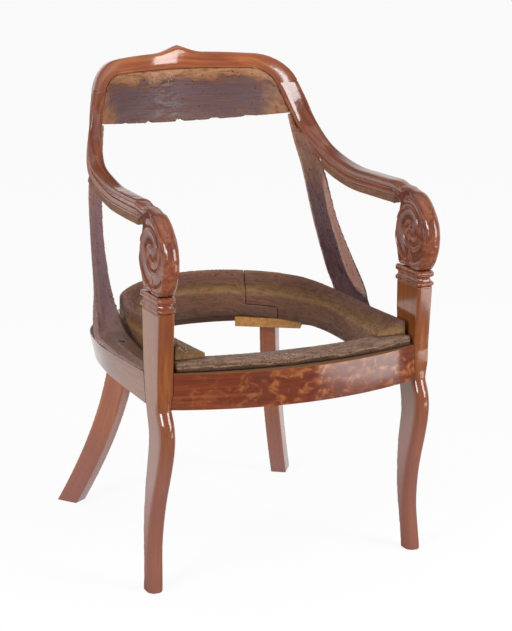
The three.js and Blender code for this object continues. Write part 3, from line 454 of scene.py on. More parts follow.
@dataclass(frozen=True)
class BareWood(Finish):
    """Hardwood that lay under upholstery: dry, stained by cloth and glue, full of tack holes.

    The eye sees a dull brown that goes from purple-grey to ochre across the piece, faint
    scratches along the grain, and many small dark holes.
    """

    # Across the piece, or up from one height to another: share and colour
    bands: tuple[tuple[float, str], ...]
    heights: tuple[float, float] | None = None
    waver: float = 0.1
    end_colour: str = "#8d6a3c"
    end_share: float = 0.0
    end_waver: float = 0.3
    # Painted light: faces turned to the sides go over to this colour as their normal's X grows
    # between the two values
    side_light_colour: str = ""
    side_light_facing: tuple[float, float] = (0.62, 0.78)
    stain: str = "#6a3f2c"
    stain_share: float = 0.5
    stain_size: float = 0.022
    dirt_and_groove_shade: str = "#2b1d19"
    dirt_share: float = 0.4
    chalk: str = "#a08c78"
    chalk_share: float = 0.22
    streak_length: float = 0.07
    streak_width: float = 0.0018
    hole_colour: str = "#120b09"
    hole_spacing: float = 0.0085
    hole_radius: float = 0.0012
    hole_share: float = 0.5
    roughness: tuple[float, float] = (0.36, 0.7)
    specular: float = 0.4

    def shader(self, add: Add) -> Node:
        """Lays bands, ends, painted light on the sides, stains, scratches, dirt and tack holes over
        each other.

        Args:
            add: Adds a node to the material.

        Returns:
            The shader.
        """
        grain = add("Attribute", {"attribute_name": "grain"}).outputs["Vector"]
        share = add("Attribute", {"attribute_name": "share"}).outputs["Vector"]
        along, across, _ = add("SeparateXYZ", {}, share).outputs
        noise = partial(stretched_noise, add, grain)
        size = self.stain_size
        blotch = noise((size * 2, size, size), 5.0, 0.5)
        mottle = noise((size, size / 3, size / 3), 5.0, 0.9)
        streaks = noise((self.streak_length, self.streak_width, self.streak_width), 3.0, 0.3)
        border = (0.25, 0.75, -self.waver, self.waver)
        waver = add("MapRange", {"clamp": False}, blotch, *border)
        layers = []
        if self.heights:
            place = add("TexCoord", {}).outputs["Object"]
            height = add("SeparateXYZ", {}, place).outputs[2]
            across = add("MapRange", {}, height, *self.heights)
        if self.end_share:
            far = add("Math", "ABSOLUTE", add("Math", "SUBTRACT", along, 0.5))
            uneven = add("Math", "MULTIPLY_ADD", waver, self.end_waver, far)
            edges = 0.5 - self.end_share, 0.5 - self.end_share / 3
            layers.append((add("MapRange", SMOOTH, uneven, *edges), self.end_colour))
        # Painted light: the faces turned to the sides take a colour of their own
        if self.side_light_colour:
            normal = add("NewGeometry", {}).outputs["Normal"]
            much = add("Math", "ABSOLUTE", add("SeparateXYZ", {}, normal))
            sides = add("MapRange", SMOOTH, much, *self.side_light_facing)
            layers.append((sides, self.side_light_colour))
        for value, start, end, most, tint in (
            (mottle, 0.45, 0.7, self.stain_share, self.stain),
            (streaks, 0.58, 0.78, self.chalk_share, self.chalk),
            (streaks, 0.5, 0.25, self.dirt_share, self.dirt_and_groove_shade),
        ):
            layers.append((add("MapRange", SMOOTH, value, start, end, 0.0, most), tint))
        holes = self.holes(add, grain)
        layers.append((holes, self.hole_colour))
        total = {"operation": "ADD", "use_clamp": True}
        band = add("Math", total, across, waver)
        colour = add("ValToRGB", {"stops": self.bands}, band)
        rough = add("Bump", {}, Strength=0.5, Distance=0.0006, Height=streaks)
        pits = {"Strength": 0.8, "Distance": 0.001, "Height": holes, "Normal": rough}
        return add(
            "BsdfPrincipled",
            {},
            Base_Color=layered(add, colour, layers),
            Roughness=add("MapRange", {}, mottle, 0.35, 0.6, *self.roughness),
            Normal=add("Bump", {"invert": True}, **pits),
            Specular_IOR_Level=self.specular,
        )

    def holes(self, add: Add, grain: Socket) -> Node:
        """Peppers the wood with tack holes.

        Args:
            add: Adds a node to the material.
            grain: The grain coordinates.

        Returns:
            One inside a hole, zero elsewhere.
        """
        per_metre = 1 / self.hole_spacing
        cells = add("TexVoronoi", {}, Vector=grain, Scale=per_metre, Randomness=1.0)
        reach = self.hole_radius / self.hole_spacing
        inside = add("MapRange", {}, cells.outputs["Distance"], reach, 0.6 * reach)
        dice = add("SeparateColor", {}, cells.outputs["Color"])
        kept = add("Math", "LESS_THAN", dice, self.hole_share)
        return add("Math", "MULTIPLY", inside, kept)


@dataclass(frozen=True)
class PlainFinish(Finish):
    """A finish with one mottled colour: raw pine, iron, old fibre or the dark of a hole.

    The eye sees a plain material whose shade changes a little from place to place.
    """

    colour: str
    mottle: str
    grain_size: Triple = (0.02, 0.02, 0.02)
    roughness: float = 0.6
    metallic: float = 0.0

    def shader(self, add: Add) -> Node:
        """Mottles the colour and its surface by one noise.

        Args:
            add: Adds a node to the material.

        Returns:
            The shader.
        """
        place = add("TexCoord", {}).outputs["Object"]
        spots = stretched_noise(add, place, self.grain_size, 4.0, 0.4)
        stops = {"stops": [(0.35, self.colour), (0.65, self.mottle)]}
        return add(
            "BsdfPrincipled",
            {},
            Base_Color=add("ValToRGB", stops, spots),
            Normal=add("Bump", {}, Strength=0.4, Distance=0.0004, Height=spots),
            Roughness=self.roughness,
            Metallic=self.metallic,
        )


# Arms and collars: a dull, even red-brown
MAHOGANY = PolishedWood(coat=0.12)
# The palest and glossiest, duller at both ends
CREST = PolishedWood(
    "mahogany_crest_polished", dark="#82452b", middle="#9f5a39", light="#b57044", age="#804632",
    coat=0.3, end_colour="#7d4531",
)
# Brown at the knee, redder and duller towards the foot
LEG = PolishedWood(
    "mahogany_leg_polished", dark="#6c371a", middle="#7d4523", light="#8e5429", age="#6a3722",
    foot="#895a51",
)
# Worn almost matt
REAR_LEG = PolishedWood(
    "mahogany_rear_leg_polished", dark="#874b32", middle="#94563a", light="#a26444",
    age="#864d3c", foot="#854c42", foot_heights=(0.02, 0.2), polish=(0.2, 0.35),
)
# Faded: greyer and more even than the rest
SIDE_VENEER = PolishedWood(
    "mahogany_side_veneer_polished", dark="#704a38", middle="#7e5542", light="#8b624d",
    age="#6c4a3f",
)
# Orange and dark mottle with a paler cut edge
FLAME_VENEER = PolishedWood(
    "mahogany_crotch_veneer_polished", "flame_veneer", "#451708", "#6b2f18", "#8a4b26", flame=0.8
)
# Purple-grey where cloth lay, ochre along its upper edge
PANEL = BareWood(
    "mahogany_tacking_panel", "tacked_mahogany",
    (
        (0.0, "#70544b"), (0.15, "#624b4b"), (0.62, "#5b4549"), (0.75, "#69473b"),
        (0.84, "#946546"), (1.0, "#a97a56"),
    ),
    waver=0.13, end_share=0.15, end_colour="#916445", stain_share=0.6, roughness=(0.3, 0.65),
    specular=0.25,
)
# Dark below, some old polish above, with painted light that makes the sides paler
STILE = BareWood(
    "mahogany_stile_bare", "tacked_mahogany",
    ((0.0, "#422b29"), (0.3, "#3e282d"), (0.62, "#4a2e30"), (0.78, "#70432e"), (1.0, "#8a5a3a")),
    (0.36, 0.76), stain_share=0.25, side_light_colour="#a77c6e", roughness=(0.2, 0.4), specular=0.22,
)
# The same wood, painted paler as lit from the left, and more scuffed
LIT_LEFT_STILE = BareWood(
    "mahogany_left_stile_painted_lit", "tacked_mahogany",
    ((0.0, "#755945"), (0.3, "#6c5256"), (0.62, "#7b5b5e"), (0.78, "#926352"), (1.0, "#9f7356")),
    (0.36, 0.76), stain_share=0.25, side_light_colour="#7e5c56", roughness=(0.22, 0.42),
)
# Plain brown, peppered with small holes
STRIP = BareWood(
    "hardwood_tacking_strip", "secondary_wood",
    ((0.0, "#7c543a"), (0.5, "#6d4835"), (1.0, "#5f3e30")), hole_spacing=0.006, hole_share=0.6,
)
# Rough, with an ochre stripe where no cloth was glued
SEAT = BareWood(
    "hardwood_seat_frame", "secondary_wood",
    (
        (0.0, "#4a301f"), (0.3, "#684330"), (0.52, "#6e4933"), (0.6, "#886541"),
        (0.65, "#7e5a31"), (0.73, "#6c4a2a"), (0.82, "#643f30"), (0.95, "#724a3a"),
        (1.0, "#835d43"),
    ),
    (0.3643, 0.4503), 0.025, stain="#3a2818", stain_share=0.35, roughness=(0.45, 0.8),
)
# The most torn, with the densest holes
SEAT_FRONT = BareWood(
    "hardwood_seat_front_rail", "secondary_wood",
    ((0.0, "#3a281f"), (0.38, "#54392b"), (0.52, "#94704a"), (0.62, "#5e4535"), (1.0, "#856755")),
    waver=0.2, stain="#33251a", stain_share=0.55, roughness=(0.5, 0.85), hole_spacing=0.0055,
    hole_radius=0.0014, hole_share=0.75,
)
# Dry inner wood, with no polish
RAIL = BareWood(
    "hardwood_rail_core", "secondary_wood",
    ((0.0, "#5e3f2a"), (0.6, "#5a3d2c"), (1.0, "#7a5836")),
)
# Pale yellow with coarse straight grain
PINE = PlainFinish(
    "pine_splice_block_sawn", "pale_block_wood", "#94642e", "#b8813f", (0.006, 0.05, 0.004)
)
# Even pale tan
DOWEL = PlainFinish("beech_dowel_turned", "dowel_wood", "#a9814f", "#b9925f")
# Near black, with a dull shine of metal
IRON = PlainFinish(
    "iron_fixing_darkened", "iron_fixing", "#3a3532", "#564a42", roughness=0.5, metallic=0.85
)
# Straw pale against the dark wood
FIBRE = PlainFinish("hessian_fibre_old", "secondary_wood", "#b89c68", "#ddceaa", roughness=0.9)
# Almost black and matt
HOLE = PlainFinish("tack_hole_dark", "secondary_wood", "#0d0807", "#1c120e", roughness=1.0)


def merged_copy(node: str) -> Mesh:
    """Copies a CAD node's mesh with its loose triangles merged.

    Args:
        node: The node's name.

    Returns:
        The new mesh.
    """
    shell = bmesh.new()
    shell.from_mesh(frame["nodes"][node].data)
    bmesh.ops.remove_doubles(shell, verts=shell.verts, dist=MERGE_DISTANCE)
    mesh = bpy.data.meshes.new(f"{node}_surface")
    shell.to_mesh(mesh)
    shell.free()
    for name in [a.name for a in mesh.attributes if a.name.startswith("custom")]:
        mesh.attributes.remove(mesh.attributes[name])
    return mesh


def evaluated(scratch: Object) -> Mesh:
    """Turns a scratch object with modifiers into a plain mesh.

    Args:
        scratch: The object, which is removed with its modifiers.

    Returns:
        The mesh that its modifiers make.
    """
    bpy.context.view_layer.update()
    shown = scratch.evaluated_get(bpy.context.evaluated_depsgraph_get())
    mesh = bpy.data.meshes.new_from_object(shown)
    bpy.data.objects.remove(scratch)
    return mesh


def softened(mesh: Mesh, voxel: float, rounds: int) -> Mesh:
    """Rebuilds a closed mesh in even small faces and eases its edges, as years of wear do.

    Args:
        mesh: The closed mesh, which is used up.
        voxel: The size of the new faces.
        rounds: The rounds of smoothing.

    Returns:
        The new mesh.
    """
    scratch = linked("softening", mesh)
    remesh = scratch.modifiers.new("even", "REMESH")
    remesh.mode, remesh.voxel_size = "VOXEL", voxel
    even = evaluated(scratch)
    move_vertices(even, relaxed(even, vertex_array(even), rounds, 0.5))
    return even


def relaxed(
    mesh: Mesh, points: np.ndarray, rounds: int, strength: float, weight: np.ndarray | float = 1.0
) -> np.ndarray:
    """Moves points towards the middle of their neighbours.

    Args:
        mesh: The mesh whose edges name the neighbours.
        points: The points.
        rounds: How often they move.
        strength: How far, from 0 to 1.
        weight: A share for each point, or one for all alike.

    Returns:
        The moved points.
    """
    edges = np.zeros(len(mesh.edges) * 2, np.int32)
    mesh.edges.foreach_get("vertices", edges)
    first, second = edges.reshape(-1, 2).T
    size = len(points)
    count = np.bincount(first, minlength=size) + np.bincount(second, minlength=size)
    share = np.broadcast_to(strength * weight, size)[:, None]
    for _ in range(rounds):
        sums = [
            np.bincount(first, axis[second], size) + np.bincount(second, axis[first], size)
            for axis in points.T
        ]
        points = points + (np.stack(sums, axis=1) / count[:, None] - points) * share
    return points


def settle(piece: Object, body: str, finish: Finish) -> None:
    """Dresses a finished piece and ties it to its body.

    Args:
        piece: The finished piece.
        body: The CAD body that it moves with.
        finish: Its finish.
    """
    piece.data.materials.clear()
    piece.data.materials.append(finish.material())
    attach(piece, body)
    log.info("%s: %d faces, on %s", piece.name, len(piece.data.polygons), body)


@dataclass
class DressedNode:
    """One CAD node, smoothed and dressed."""

    node: str
    finish: Finish
    along: Along
    crease_degrees: float = 34.0
    voxel: float = 0.0
    rounds: int = 2

    def build(self, mesh: Mesh | None = None) -> None:
        """Makes the piece.

        Args:
            mesh: The mesh to dress, or none for a merged copy of the node.
        """
        mesh = mesh or merged_copy(self.node)
        if self.voxel:
            mesh = softened(mesh, self.voxel, self.rounds)
        GrainMap(self.along).write(mesh)
        mesh.shade_smooth()
        mesh.set_sharp_from_angle(angle=math.radians(self.crease_degrees))
        piece = linked(f"{self.node}_surface", mesh)
        settle(piece, frame["nodes"][self.node]["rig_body"], self.finish)
        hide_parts(self.node)


@dataclass
class Volute:
    """The carved double spiral on one side of a scroll."""

    side: str
    face: int
    eye_above_collar: float = 0.0677
    eye_behind_front: float = 0.0412
    below_arm: float = 0.04
    sectors: int = 24
    ground_depth: float = 0.0033
    carved_share: float = 0.9
    rim_share: float = 0.985
    ridge_width: float = 0.0014
    ridge_share: float = 0.62
    slope_width: float = 0.006
    # Painted shade in the grooves: its darkest share, and how fast it fades up a ridge's slope
    groove_shade_share: float = 0.5
    groove_slope: float = 1.8
    # Each ridge as turns from the top, forwards, and radii
    arm_ridge: tuple[tuple[float, float], ...] = ((-0.05, 0.055), (0.0, 0.054), (1.0, 0.01))
    collar_ridge: tuple[tuple[float, float], ...] = ((0.38, 0.0625), (0.55, 0.06), (1.55, 0.012))
    ridge_points: int = 220

    def __post_init__(self) -> None:
        """Finds the carving's middle and the scroll's outline from the frame."""
        low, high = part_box(f"{self.side}_collar")
        self.eye_y = low.y + self.eye_behind_front
        self.eye_z = high.z + self.eye_above_collar
        points = vertex_array(frame["nodes"][f"{self.side}_arm"].data)
        beside = np.abs(points[:, 1] - self.eye_y) < self.eye_behind_front
        scroll = points[beside & (points[:, 2] < self.eye_z + self.below_arm)]
        self.plane = scroll[:, 0].max() if self.face > 0 else scroll[:, 0].min()
        flat = points[np.abs(points[:, 0] - self.plane) < MERGE_DISTANCE * 10]
        angle, radius = self.polar(flat)
        steps = np.linspace(0, TURN, self.sectors + 1)[:-1]
        apart = np.abs((angle[None] - steps[:, None] + math.pi) % TURN - math.pi)
        reach = np.where(apart < TURN / self.sectors, radius[None], 0).max(1)
        steps, reach = steps[reach > 0], reach[reach > 0]
        self.angles = np.linspace(0, TURN, 181)
        wrapped = np.concatenate([steps - TURN, steps, steps + TURN])
        # The carving ends at the collar's top
        floor = self.eye_above_collar / np.maximum(-np.cos(self.angles), 1e-3)
        self.reaches = np.minimum(np.interp(self.angles, wrapped, np.tile(reach, 3)), floor)

    def polar(self, points: np.ndarray) -> tuple[np.ndarray, np.ndarray]:
        """Returns each point's angle from the top, forwards, and its radius from the eye."""
        forward, up = self.eye_y - points[:, 1], points[:, 2] - self.eye_z
        return np.arctan2(forward, up) % TURN, np.hypot(forward, up)

    def zone(self, points: np.ndarray, margin: float) -> np.ndarray:
        """Finds the carved face.

        Args:
            points: The points to look at.
            margin: How far the zone reaches past the carving.

        Returns:
            Whether each point lies on it.
        """
        angle, radius = self.polar(points)
        near = np.abs(points[:, 0] - self.plane) < self.ground_depth + margin
        return near & (radius < np.interp(angle, self.angles, self.reaches) + margin)

    def carve(self, points: np.ndarray, hollow: np.ndarray) -> None:
        """Sinks the ground, leaves the ridges and paints shade into the grooves.

        Args:
            points: The arm's points, which are changed in place.
            hollow: The painted shade at each point, darkest deep in a groove, changed in place.
        """
        where = np.flatnonzero(self.zone(points, 0.0))
        angle, radius = self.polar(points[where])
        share = radius / np.interp(angle, self.angles, self.reaches)
        forward, up = radius * np.sin(angle), radius * np.cos(angle)
        apart = np.full(len(where), 1.0)
        for ridge in (self.arm_ridge, self.collar_ridge):
            turns, radii = np.array(ridge).T
            turn = np.linspace(turns[0], turns[-1], self.ridge_points)
            reach = np.interp(turn, turns, radii)
            for x, y in zip(reach * np.sin(turn * TURN), reach * np.cos(turn * TURN)):
                apart = np.minimum(apart, np.hypot(forward - x, up - y))
        crest = self.ridge_share * np.exp(-((apart / self.ridge_width) ** 2))
        slope = (1 - self.ridge_share) * np.exp(-((apart / self.slope_width) ** 2))
        height = crest + slope
        carved = self.plane - self.face * self.ground_depth * (1 - height)
        kept = np.clip((share - self.carved_share) / (self.rim_share - self.carved_share), 0, 1)
        kept = kept * kept * (3 - 2 * kept)
        points[where, 0] = carved + (points[where, 0] - carved) * kept
        # Painted shade, darkest where the ground lies lowest and gone on the ridges
        dirt_and_groove_shade = self.groove_shade_share * np.clip(1 - self.groove_slope * height, 0, 1)
        hollow[where] = dirt_and_groove_shade * (1 - kept)


@dataclass
class Arm:
    """One arm and its scroll, cut as one smooth piece."""

    side: str
    voxel: float = 0.00145
    rounds: int = 12
    thickness: float = 0.031
    # The scroll's crown, measured from the eye, and how far it first stands over the arm's top
    crown_rise: float = 0.0039
    crown_low: float = 0.055
    crown_back: float = 0.0305
    crown_front: float = -0.012
    crown_margin: float = 0.001
    # The smoothing of the step behind the crown
    step_reach: float = 0.026
    step_full: float = 0.4
    step_rounds: int = 130
    # The dip between arm and scroll
    dip_range: Triple = (-0.02, 0.09, 0.002)
    dip_slice: float = 0.0015
    top_low: float = 0.052
    top_fade: float = 0.012
    zone_margin: float = 0.001
    joint_size: float = 0.05
    joint_reach: float = 0.006
    joint_overlap: float = 0.005

    def build(self) -> None:
        """Softens the arm, carves its volutes and dresses it."""
        node = f"{self.side}_arm"
        volutes = [Volute(self.side, face) for face in (-1, 1)]
        mesh = merged_copy(node)
        self.blend(mesh, volutes[0])
        mesh = softened(mesh, self.voxel, self.rounds)
        self.refine(mesh, volutes)
        points = vertex_array(mesh)
        step = np.abs(points[:, 1] - volutes[0].eye_y - self.crown_back)
        weight = np.clip(1 + self.step_full - step / self.step_reach, 0, 1)
        points = relaxed(mesh, points, self.step_rounds, 0.6, weight)
        self.fill_dip(points, volutes[0])
        # The painted shade of the grooves, which the material reads as an attribute
        hollow = np.zeros(len(points))
        for volute in volutes:
            volute.carve(points, hollow)
        points = relaxed(mesh, points, 2, 0.4)
        self.close_joint(points)
        move_vertices(mesh, points)
        write_attribute(mesh, "hollow", hollow)
        DressedNode(node, MAHOGANY, Along.DEPTH, 180.0).build(mesh)

    def blend(self, mesh: Mesh, volute: Volute) -> None:
        """Lets the scroll's crown rise slowly out of the arm's flat top.

        Args:
            mesh: The arm's merged mesh.
            volute: One of its carvings, which knows where the scroll is.
        """
        points = vertex_array(mesh)
        behind, up = points[:, 1] - volute.eye_y, points[:, 2] - volute.eye_z
        half = self.thickness / 2
        middle = volute.plane - volute.face * half
        across = np.clip(np.abs(points[:, 0] - middle) / half, 0, 1)
        share = np.clip((behind - self.crown_front) / (self.crown_back - self.crown_front), 0, 1)
        in_scroll = (behind < self.crown_back + self.crown_margin) & (up > self.crown_low)
        points[:, 2] -= self.crown_rise * np.sqrt(1 - across**2) * share**2 * in_scroll
        move_vertices(mesh, points)

    def fill_dip(self, points: np.ndarray, volute: Volute) -> None:
        """Raises the dip between arm and scroll to the line that spans it.

        Args:
            points: The arm's points, which are changed in place.
            volute: One of its carvings, which knows where the scroll is.
        """
        behind, up = points[:, 1] - volute.eye_y, points[:, 2] - volute.eye_z
        steps = np.arange(*self.dip_range)
        tops = np.array([up[np.abs(behind - step) < self.dip_slice].max() for step in steps])
        spans = tops.copy()
        for i in range(len(steps)):
            for k in range(i + 2, len(steps)):
                line = np.interp(steps[i : k + 1], steps[[i, k]], tops[[i, k]])
                spans[i : k + 1] = np.maximum(spans[i : k + 1], line)
        share = np.clip((up - self.top_low) / self.top_fade, 0, 1)
        points[:, 2] += np.interp(behind, steps, spans - tops, 0, 0) * share

    def refine(self, mesh: Mesh, volutes: list[Volute]) -> None:
        """Halves the faces of both carved sides.

        Args:
            mesh: The arm's mesh.
            volutes: The carvings.
        """
        middles = np.zeros(len(mesh.polygons) * 3, np.float32)
        mesh.polygons.foreach_get("center", middles)
        middles = middles.reshape(-1, 3).astype(float)
        chosen = np.logical_or(*[volute.zone(middles, self.zone_margin) for volute in volutes])
        shell = bmesh.new()
        shell.from_mesh(mesh)
        shell.faces.ensure_lookup_table()
        edges = {edge for i in np.flatnonzero(chosen) for edge in shell.faces[i].edges}
        bmesh.ops.subdivide_edges(shell, edges=list(edges), cuts=1, use_grid_fill=True)
        shell.to_mesh(mesh)
        shell.free()

    def close_joint(self, points: np.ndarray) -> None:
        """Runs the arm's end a little way into the crest, so that no groove shows there.

        Args:
            points: The arm's points, which are changed in place.
        """
        dowel = vertex_array(frame["nodes"][f"{self.side}_crest_dowel"].data)
        middle = (dowel.min(0) + dowel.max(0)) / 2
        axis = np.linalg.svd(dowel - dowel.mean(0), full_matrices=False)[2][0]
        axis *= np.sign(axis[2])
        past = (points - middle) @ axis
        near = np.linalg.norm(points - middle, axis=1) < self.joint_size
        share = np.clip(past / self.joint_reach + 2, 0, 1) * near
        points += axis * (share * self.joint_overlap)[:, None]


@dataclass
class TackPanel:
    """The bent panel under the crest, with chips broken out of its lower edge."""

    node: str = "crest_tack_panel"
    voxel: float = 0.0018
    edge_reach: float = 0.004
    # Each chip's place across the chair, half its width, and its depth
    chips: tuple[Triple, ...] = (
        (-0.129, 0.009, 0.0034), (-0.0719, 0.008, 0.0068), (-0.0046, 0.0095, 0.0075),
        (0.0641, 0.011, 0.0052), (0.1261, 0.013, 0.0048), (-0.1, 0.003, 0.002),
        (0.03, 0.004, 0.0016),
    )
    chip_flatness: float = 1.6
    # A chip's ragged bottom: how much its depth changes, and the waves per metre in X and Y
    ragged_share: float = 0.25
    ragged_waves: tuple[float, float] = (2600.0, 1900.0)

    def build(self) -> None:
        """Breaks the chips out and dresses the panel."""
        mesh = softened(merged_copy(self.node), self.voxel, 2)
        points = vertex_array(mesh)
        waves = np.sin(points[:, :2] @ self.ragged_waves)
        for place, half, depth in self.chips:
            apart = np.abs(points[:, 0] - place) / half
            near = apart < 1
            edge = points[near, 2].min()
            ragged = 1 - self.ragged_share * (1 - waves[near])
            bowl = np.clip(self.chip_flatness * (1 - apart[near] ** 2), 0, 1)
            low = points[near, 2] < edge + max(depth, self.edge_reach)
            broken = np.maximum(points[near, 2], edge + depth * ragged * bowl)
            points[near, 2] = np.where(low, broken, points[near, 2])
        move_vertices(mesh, points)
        DressedNode(self.node, PANEL, Along.ACROSS, 50.0).build(mesh)


@dataclass
class Collar:
    """The moulded collar under a scroll, bold in front, flat behind and shallow at its sides."""

    side: str
    voxel: float = 0.0008
    rounds: int = 4
    half_thickness: float = 0.0158
    side_share: float = 0.45
    back_share: float = 0.15
    top_slice: float = 0.002

    def build(self) -> None:
        """Trims the collar's overhang and dresses it."""
        node = f"{self.side}_collar"
        mesh = softened(merged_copy(node), self.voxel, self.rounds)
        points = vertex_array(mesh)
        leg = vertex_array(frame["nodes"][f"{self.side}_front_leg"].data)
        top = leg[leg[:, 2] > leg[:, 2].max() - self.top_slice]
        out = points[:, 0] - (top[:, 0].min() + top[:, 0].max()) / 2
        over = np.maximum(np.abs(out) - self.half_thickness, 0)
        points[:, 0] -= np.sign(out) * over * (1 - self.side_share)
        points[:, 1] -= np.maximum(points[:, 1] - top[:, 1].max(), 0) * (1 - self.back_share)
        move_vertices(mesh, points)
        DressedNode(node, MAHOGANY, Along.HEIGHT, 180.0).build(mesh)


@dataclass(frozen=True)
class Scatter(ABC):
    """Small things that Geometry Nodes scatter over the pieces of one body."""

    name: str
    body: str
    tree_name: ClassVar[str]
    finish: ClassVar[PlainFinish]
    # The tree's own inputs by label: those that each patch gives, then those that are fixed
    inputs: ClassVar[dict[str, str]]
    fixed: ClassVar[tuple[float, ...]]

    def tree(self) -> bpy.types.NodeTree:
        """Builds the tree that scatters the things once.

        Returns:
            The tree.
        """
        if self.tree_name in bpy.data.node_groups:
            return bpy.data.node_groups[self.tree_name]
        tree = bpy.data.node_groups.new(self.tree_name, "GeometryNodeTree")
        kinds = {"Geometry": "Geometry", **self.inputs, "Seed": "Int", "Material": "Material"}
        for label, kind in kinds.items():
            tree.interface.new_socket(label, in_out="INPUT", socket_type=f"NodeSocket{kind}")
        tree.interface.new_socket("Geometry", in_out="OUTPUT", socket_type="NodeSocketGeometry")
        add = partial(add_node, tree)
        given = add("NodeGroupInput", {})
        spots = {name: given.outputs[name] for name in ("Density", "Seed")}
        points = add("GeometryNodeDistributePointsOnFaces", {}, given, **spots)
        dropped, parts = self.things(add, given, points)
        kept = add("GeometryNodeDeleteGeometry", {"domain": "POINT"}, points, dropped)
        placed = add("GeometryNodeInstanceOnPoints", {}, kept, **parts)
        real = add("GeometryNodeRealizeInstances", {}, placed)
        dressed = add("GeometryNodeSetMaterial", {}, real, Material=given.outputs["Material"])
        add("NodeGroupOutput", {}, dressed)
        return tree

    @abstractmethod
    def things(self, add: Add, given: Node, points: Node) -> tuple[Node, dict]:
        """Adds the nodes that pick points, and the inputs of the instances on the others."""

    def build(self, patches: list[tuple]) -> None:
        """Scatters the things over all patches and joins them into one piece.

        Args:
            patches: For each, its host's node and its values for the tree's first inputs.
                Its place in the list is its seed.
        """
        shell = bmesh.new()
        for seed, (host, *values) in enumerate(patches):
            inputs = dict(zip(self.inputs, (*values, *self.fixed)))
            inputs |= {"Seed": seed, "Material": self.finish.material()}
            copy = linked("scatter_host", bpy.data.objects[f"{host}_surface"].data.copy())
            grow = copy.modifiers.new("scatter", "NODES")
            grow.node_group = self.tree()
            for item in grow.node_group.interface.items_tree:
                if item.in_out == "INPUT" and item.name in inputs:
                    grow[item.identifier] = inputs[item.name]
            shell.from_mesh(evaluated(copy))
        whole = bpy.data.meshes.new(self.name)
        shell.to_mesh(whole)
        shell.free()
        settle(linked(self.name, whole), self.body, self.finish)


class TackHoles(Scatter):
    """Tack holes in a band of a bare piece: small dark cones, a little proud of the wood."""

    tree_name = "tack_holes"
    finish = HOLE
    # The last two are a hole's radius and how far it stands proud
    inputs = dict.fromkeys(("Density", "Low", "High", "Radius", "Height"), "Float")
    fixed = (0.0009, 0.00025)

    def things(self, add: Add, given: Node, points: Node) -> tuple[Node, dict]:
        """Drops the points outside the band and makes a cone for the others.

        Args:
            add: Adds a node to the tree.
            given: The tree's inputs.
            points: The scattered points.

        Returns:
            Which points go, and the inputs of the instances.
        """
        share = add("GeometryNodeInputNamedAttribute", VECTORS, Name="share")
        across = add("SeparateXYZ", {}, share).outputs[1]
        under = add("FunctionNodeCompare", "LESS_THAN", across, given.outputs["Low"])
        over = add("FunctionNodeCompare", "GREATER_THAN", across, given.outputs["High"])
        outside = add("FunctionNodeBooleanMath", "OR", under, over)
        width, height = given.outputs["Radius"], given.outputs["Height"]
        cone = {"Vertices": 7, "Radius_Top": 0.0, "Radius_Bottom": width, "Depth": height}
        plug = add("GeometryNodeMeshCone", {"fill_type": "TRIANGLE_FAN"}, **cone)
        size = add("FunctionNodeRandomValue", NUMBERS, 0.6, 1.25, Seed=given.outputs["Seed"])
        turn = points.outputs["Rotation"]
        return outside, {"Instance": plug, "Rotation": turn, "Scale": size}


class Fibres(Scatter):
    """Loose hessian and stuffing fibres, caught on tacks."""

    tree_name = "loose_fibres"
    finish = FIBRE
    inputs = {"Centre": "Vector", "Stretch": "Vector"} | dict.fromkeys(
        ("Density", "Length", "Thickness"), "Float"
    )
    # Real fibres are about 0.2 mm thick and wouldn't show, so they are drawn thicker
    fixed = (0.00028,)
    shift: ClassVar[Triple] = (-0.006, 0.0, 0.0)
    bend: ClassVar[float] = 0.8
    tilt: ClassVar[Triple] = (0.7, 0.5, 6.28)

    def things(self, add: Add, given: Node, points: Node) -> tuple[Node, dict]:
        """Thins the points out from the tuft's middle and makes a bowed thread for the others.

        Args:
            add: Adds a node to the tree.
            given: The tree's inputs.
            points: The scattered points.

        Returns:
            Which points go, and the inputs of the instances.
        """
        centre, stretch, _, length, thickness = given.outputs[1:6]
        place = add("GeometryNodeInputPosition", {})
        offset = add("VectorMath", "SUBTRACT", place, centre)
        shares = add("VectorMath", "DIVIDE", offset, stretch)
        apart = add("VectorMath", "LENGTH", shares)
        dice = add("FunctionNodeRandomValue", NUMBERS, 0.2, 1.0)
        far = add("FunctionNodeCompare", "GREATER_THAN", apart.outputs["Value"], dice)
        arc = {"Resolution": 6, "Radius": length, "Sweep_Angle": self.bend}
        bow = add("GeometryNodeCurveArc", {"mode": "RADIUS"}, **arc)
        ring = add("GeometryNodeCurvePrimitiveCircle", {}, Resolution=4, Radius=thickness)
        tube = {"Curve": bow, "Profile_Curve": ring, "Fill_Caps": True}
        thread = add("GeometryNodeCurveToMesh", {}, **tube)
        centred = add("GeometryNodeTransform", {}, Geometry=thread, Translation=self.shift)
        seed = given.outputs["Seed"]
        least = (-self.tilt[0], -self.tilt[1], 0.0)
        turn = add("FunctionNodeRandomValue", VECTORS, least, self.tilt, Seed=seed)
        local = {"rotation_space": "LOCAL"}
        lay = add("FunctionNodeRotateRotation", local, points.outputs["Rotation"], turn)
        size = add("FunctionNodeRandomValue", NUMBERS, 0.35, 1.2, Seed=seed)
        return far, {"Instance": centred, "Rotation": lay, "Scale": size}


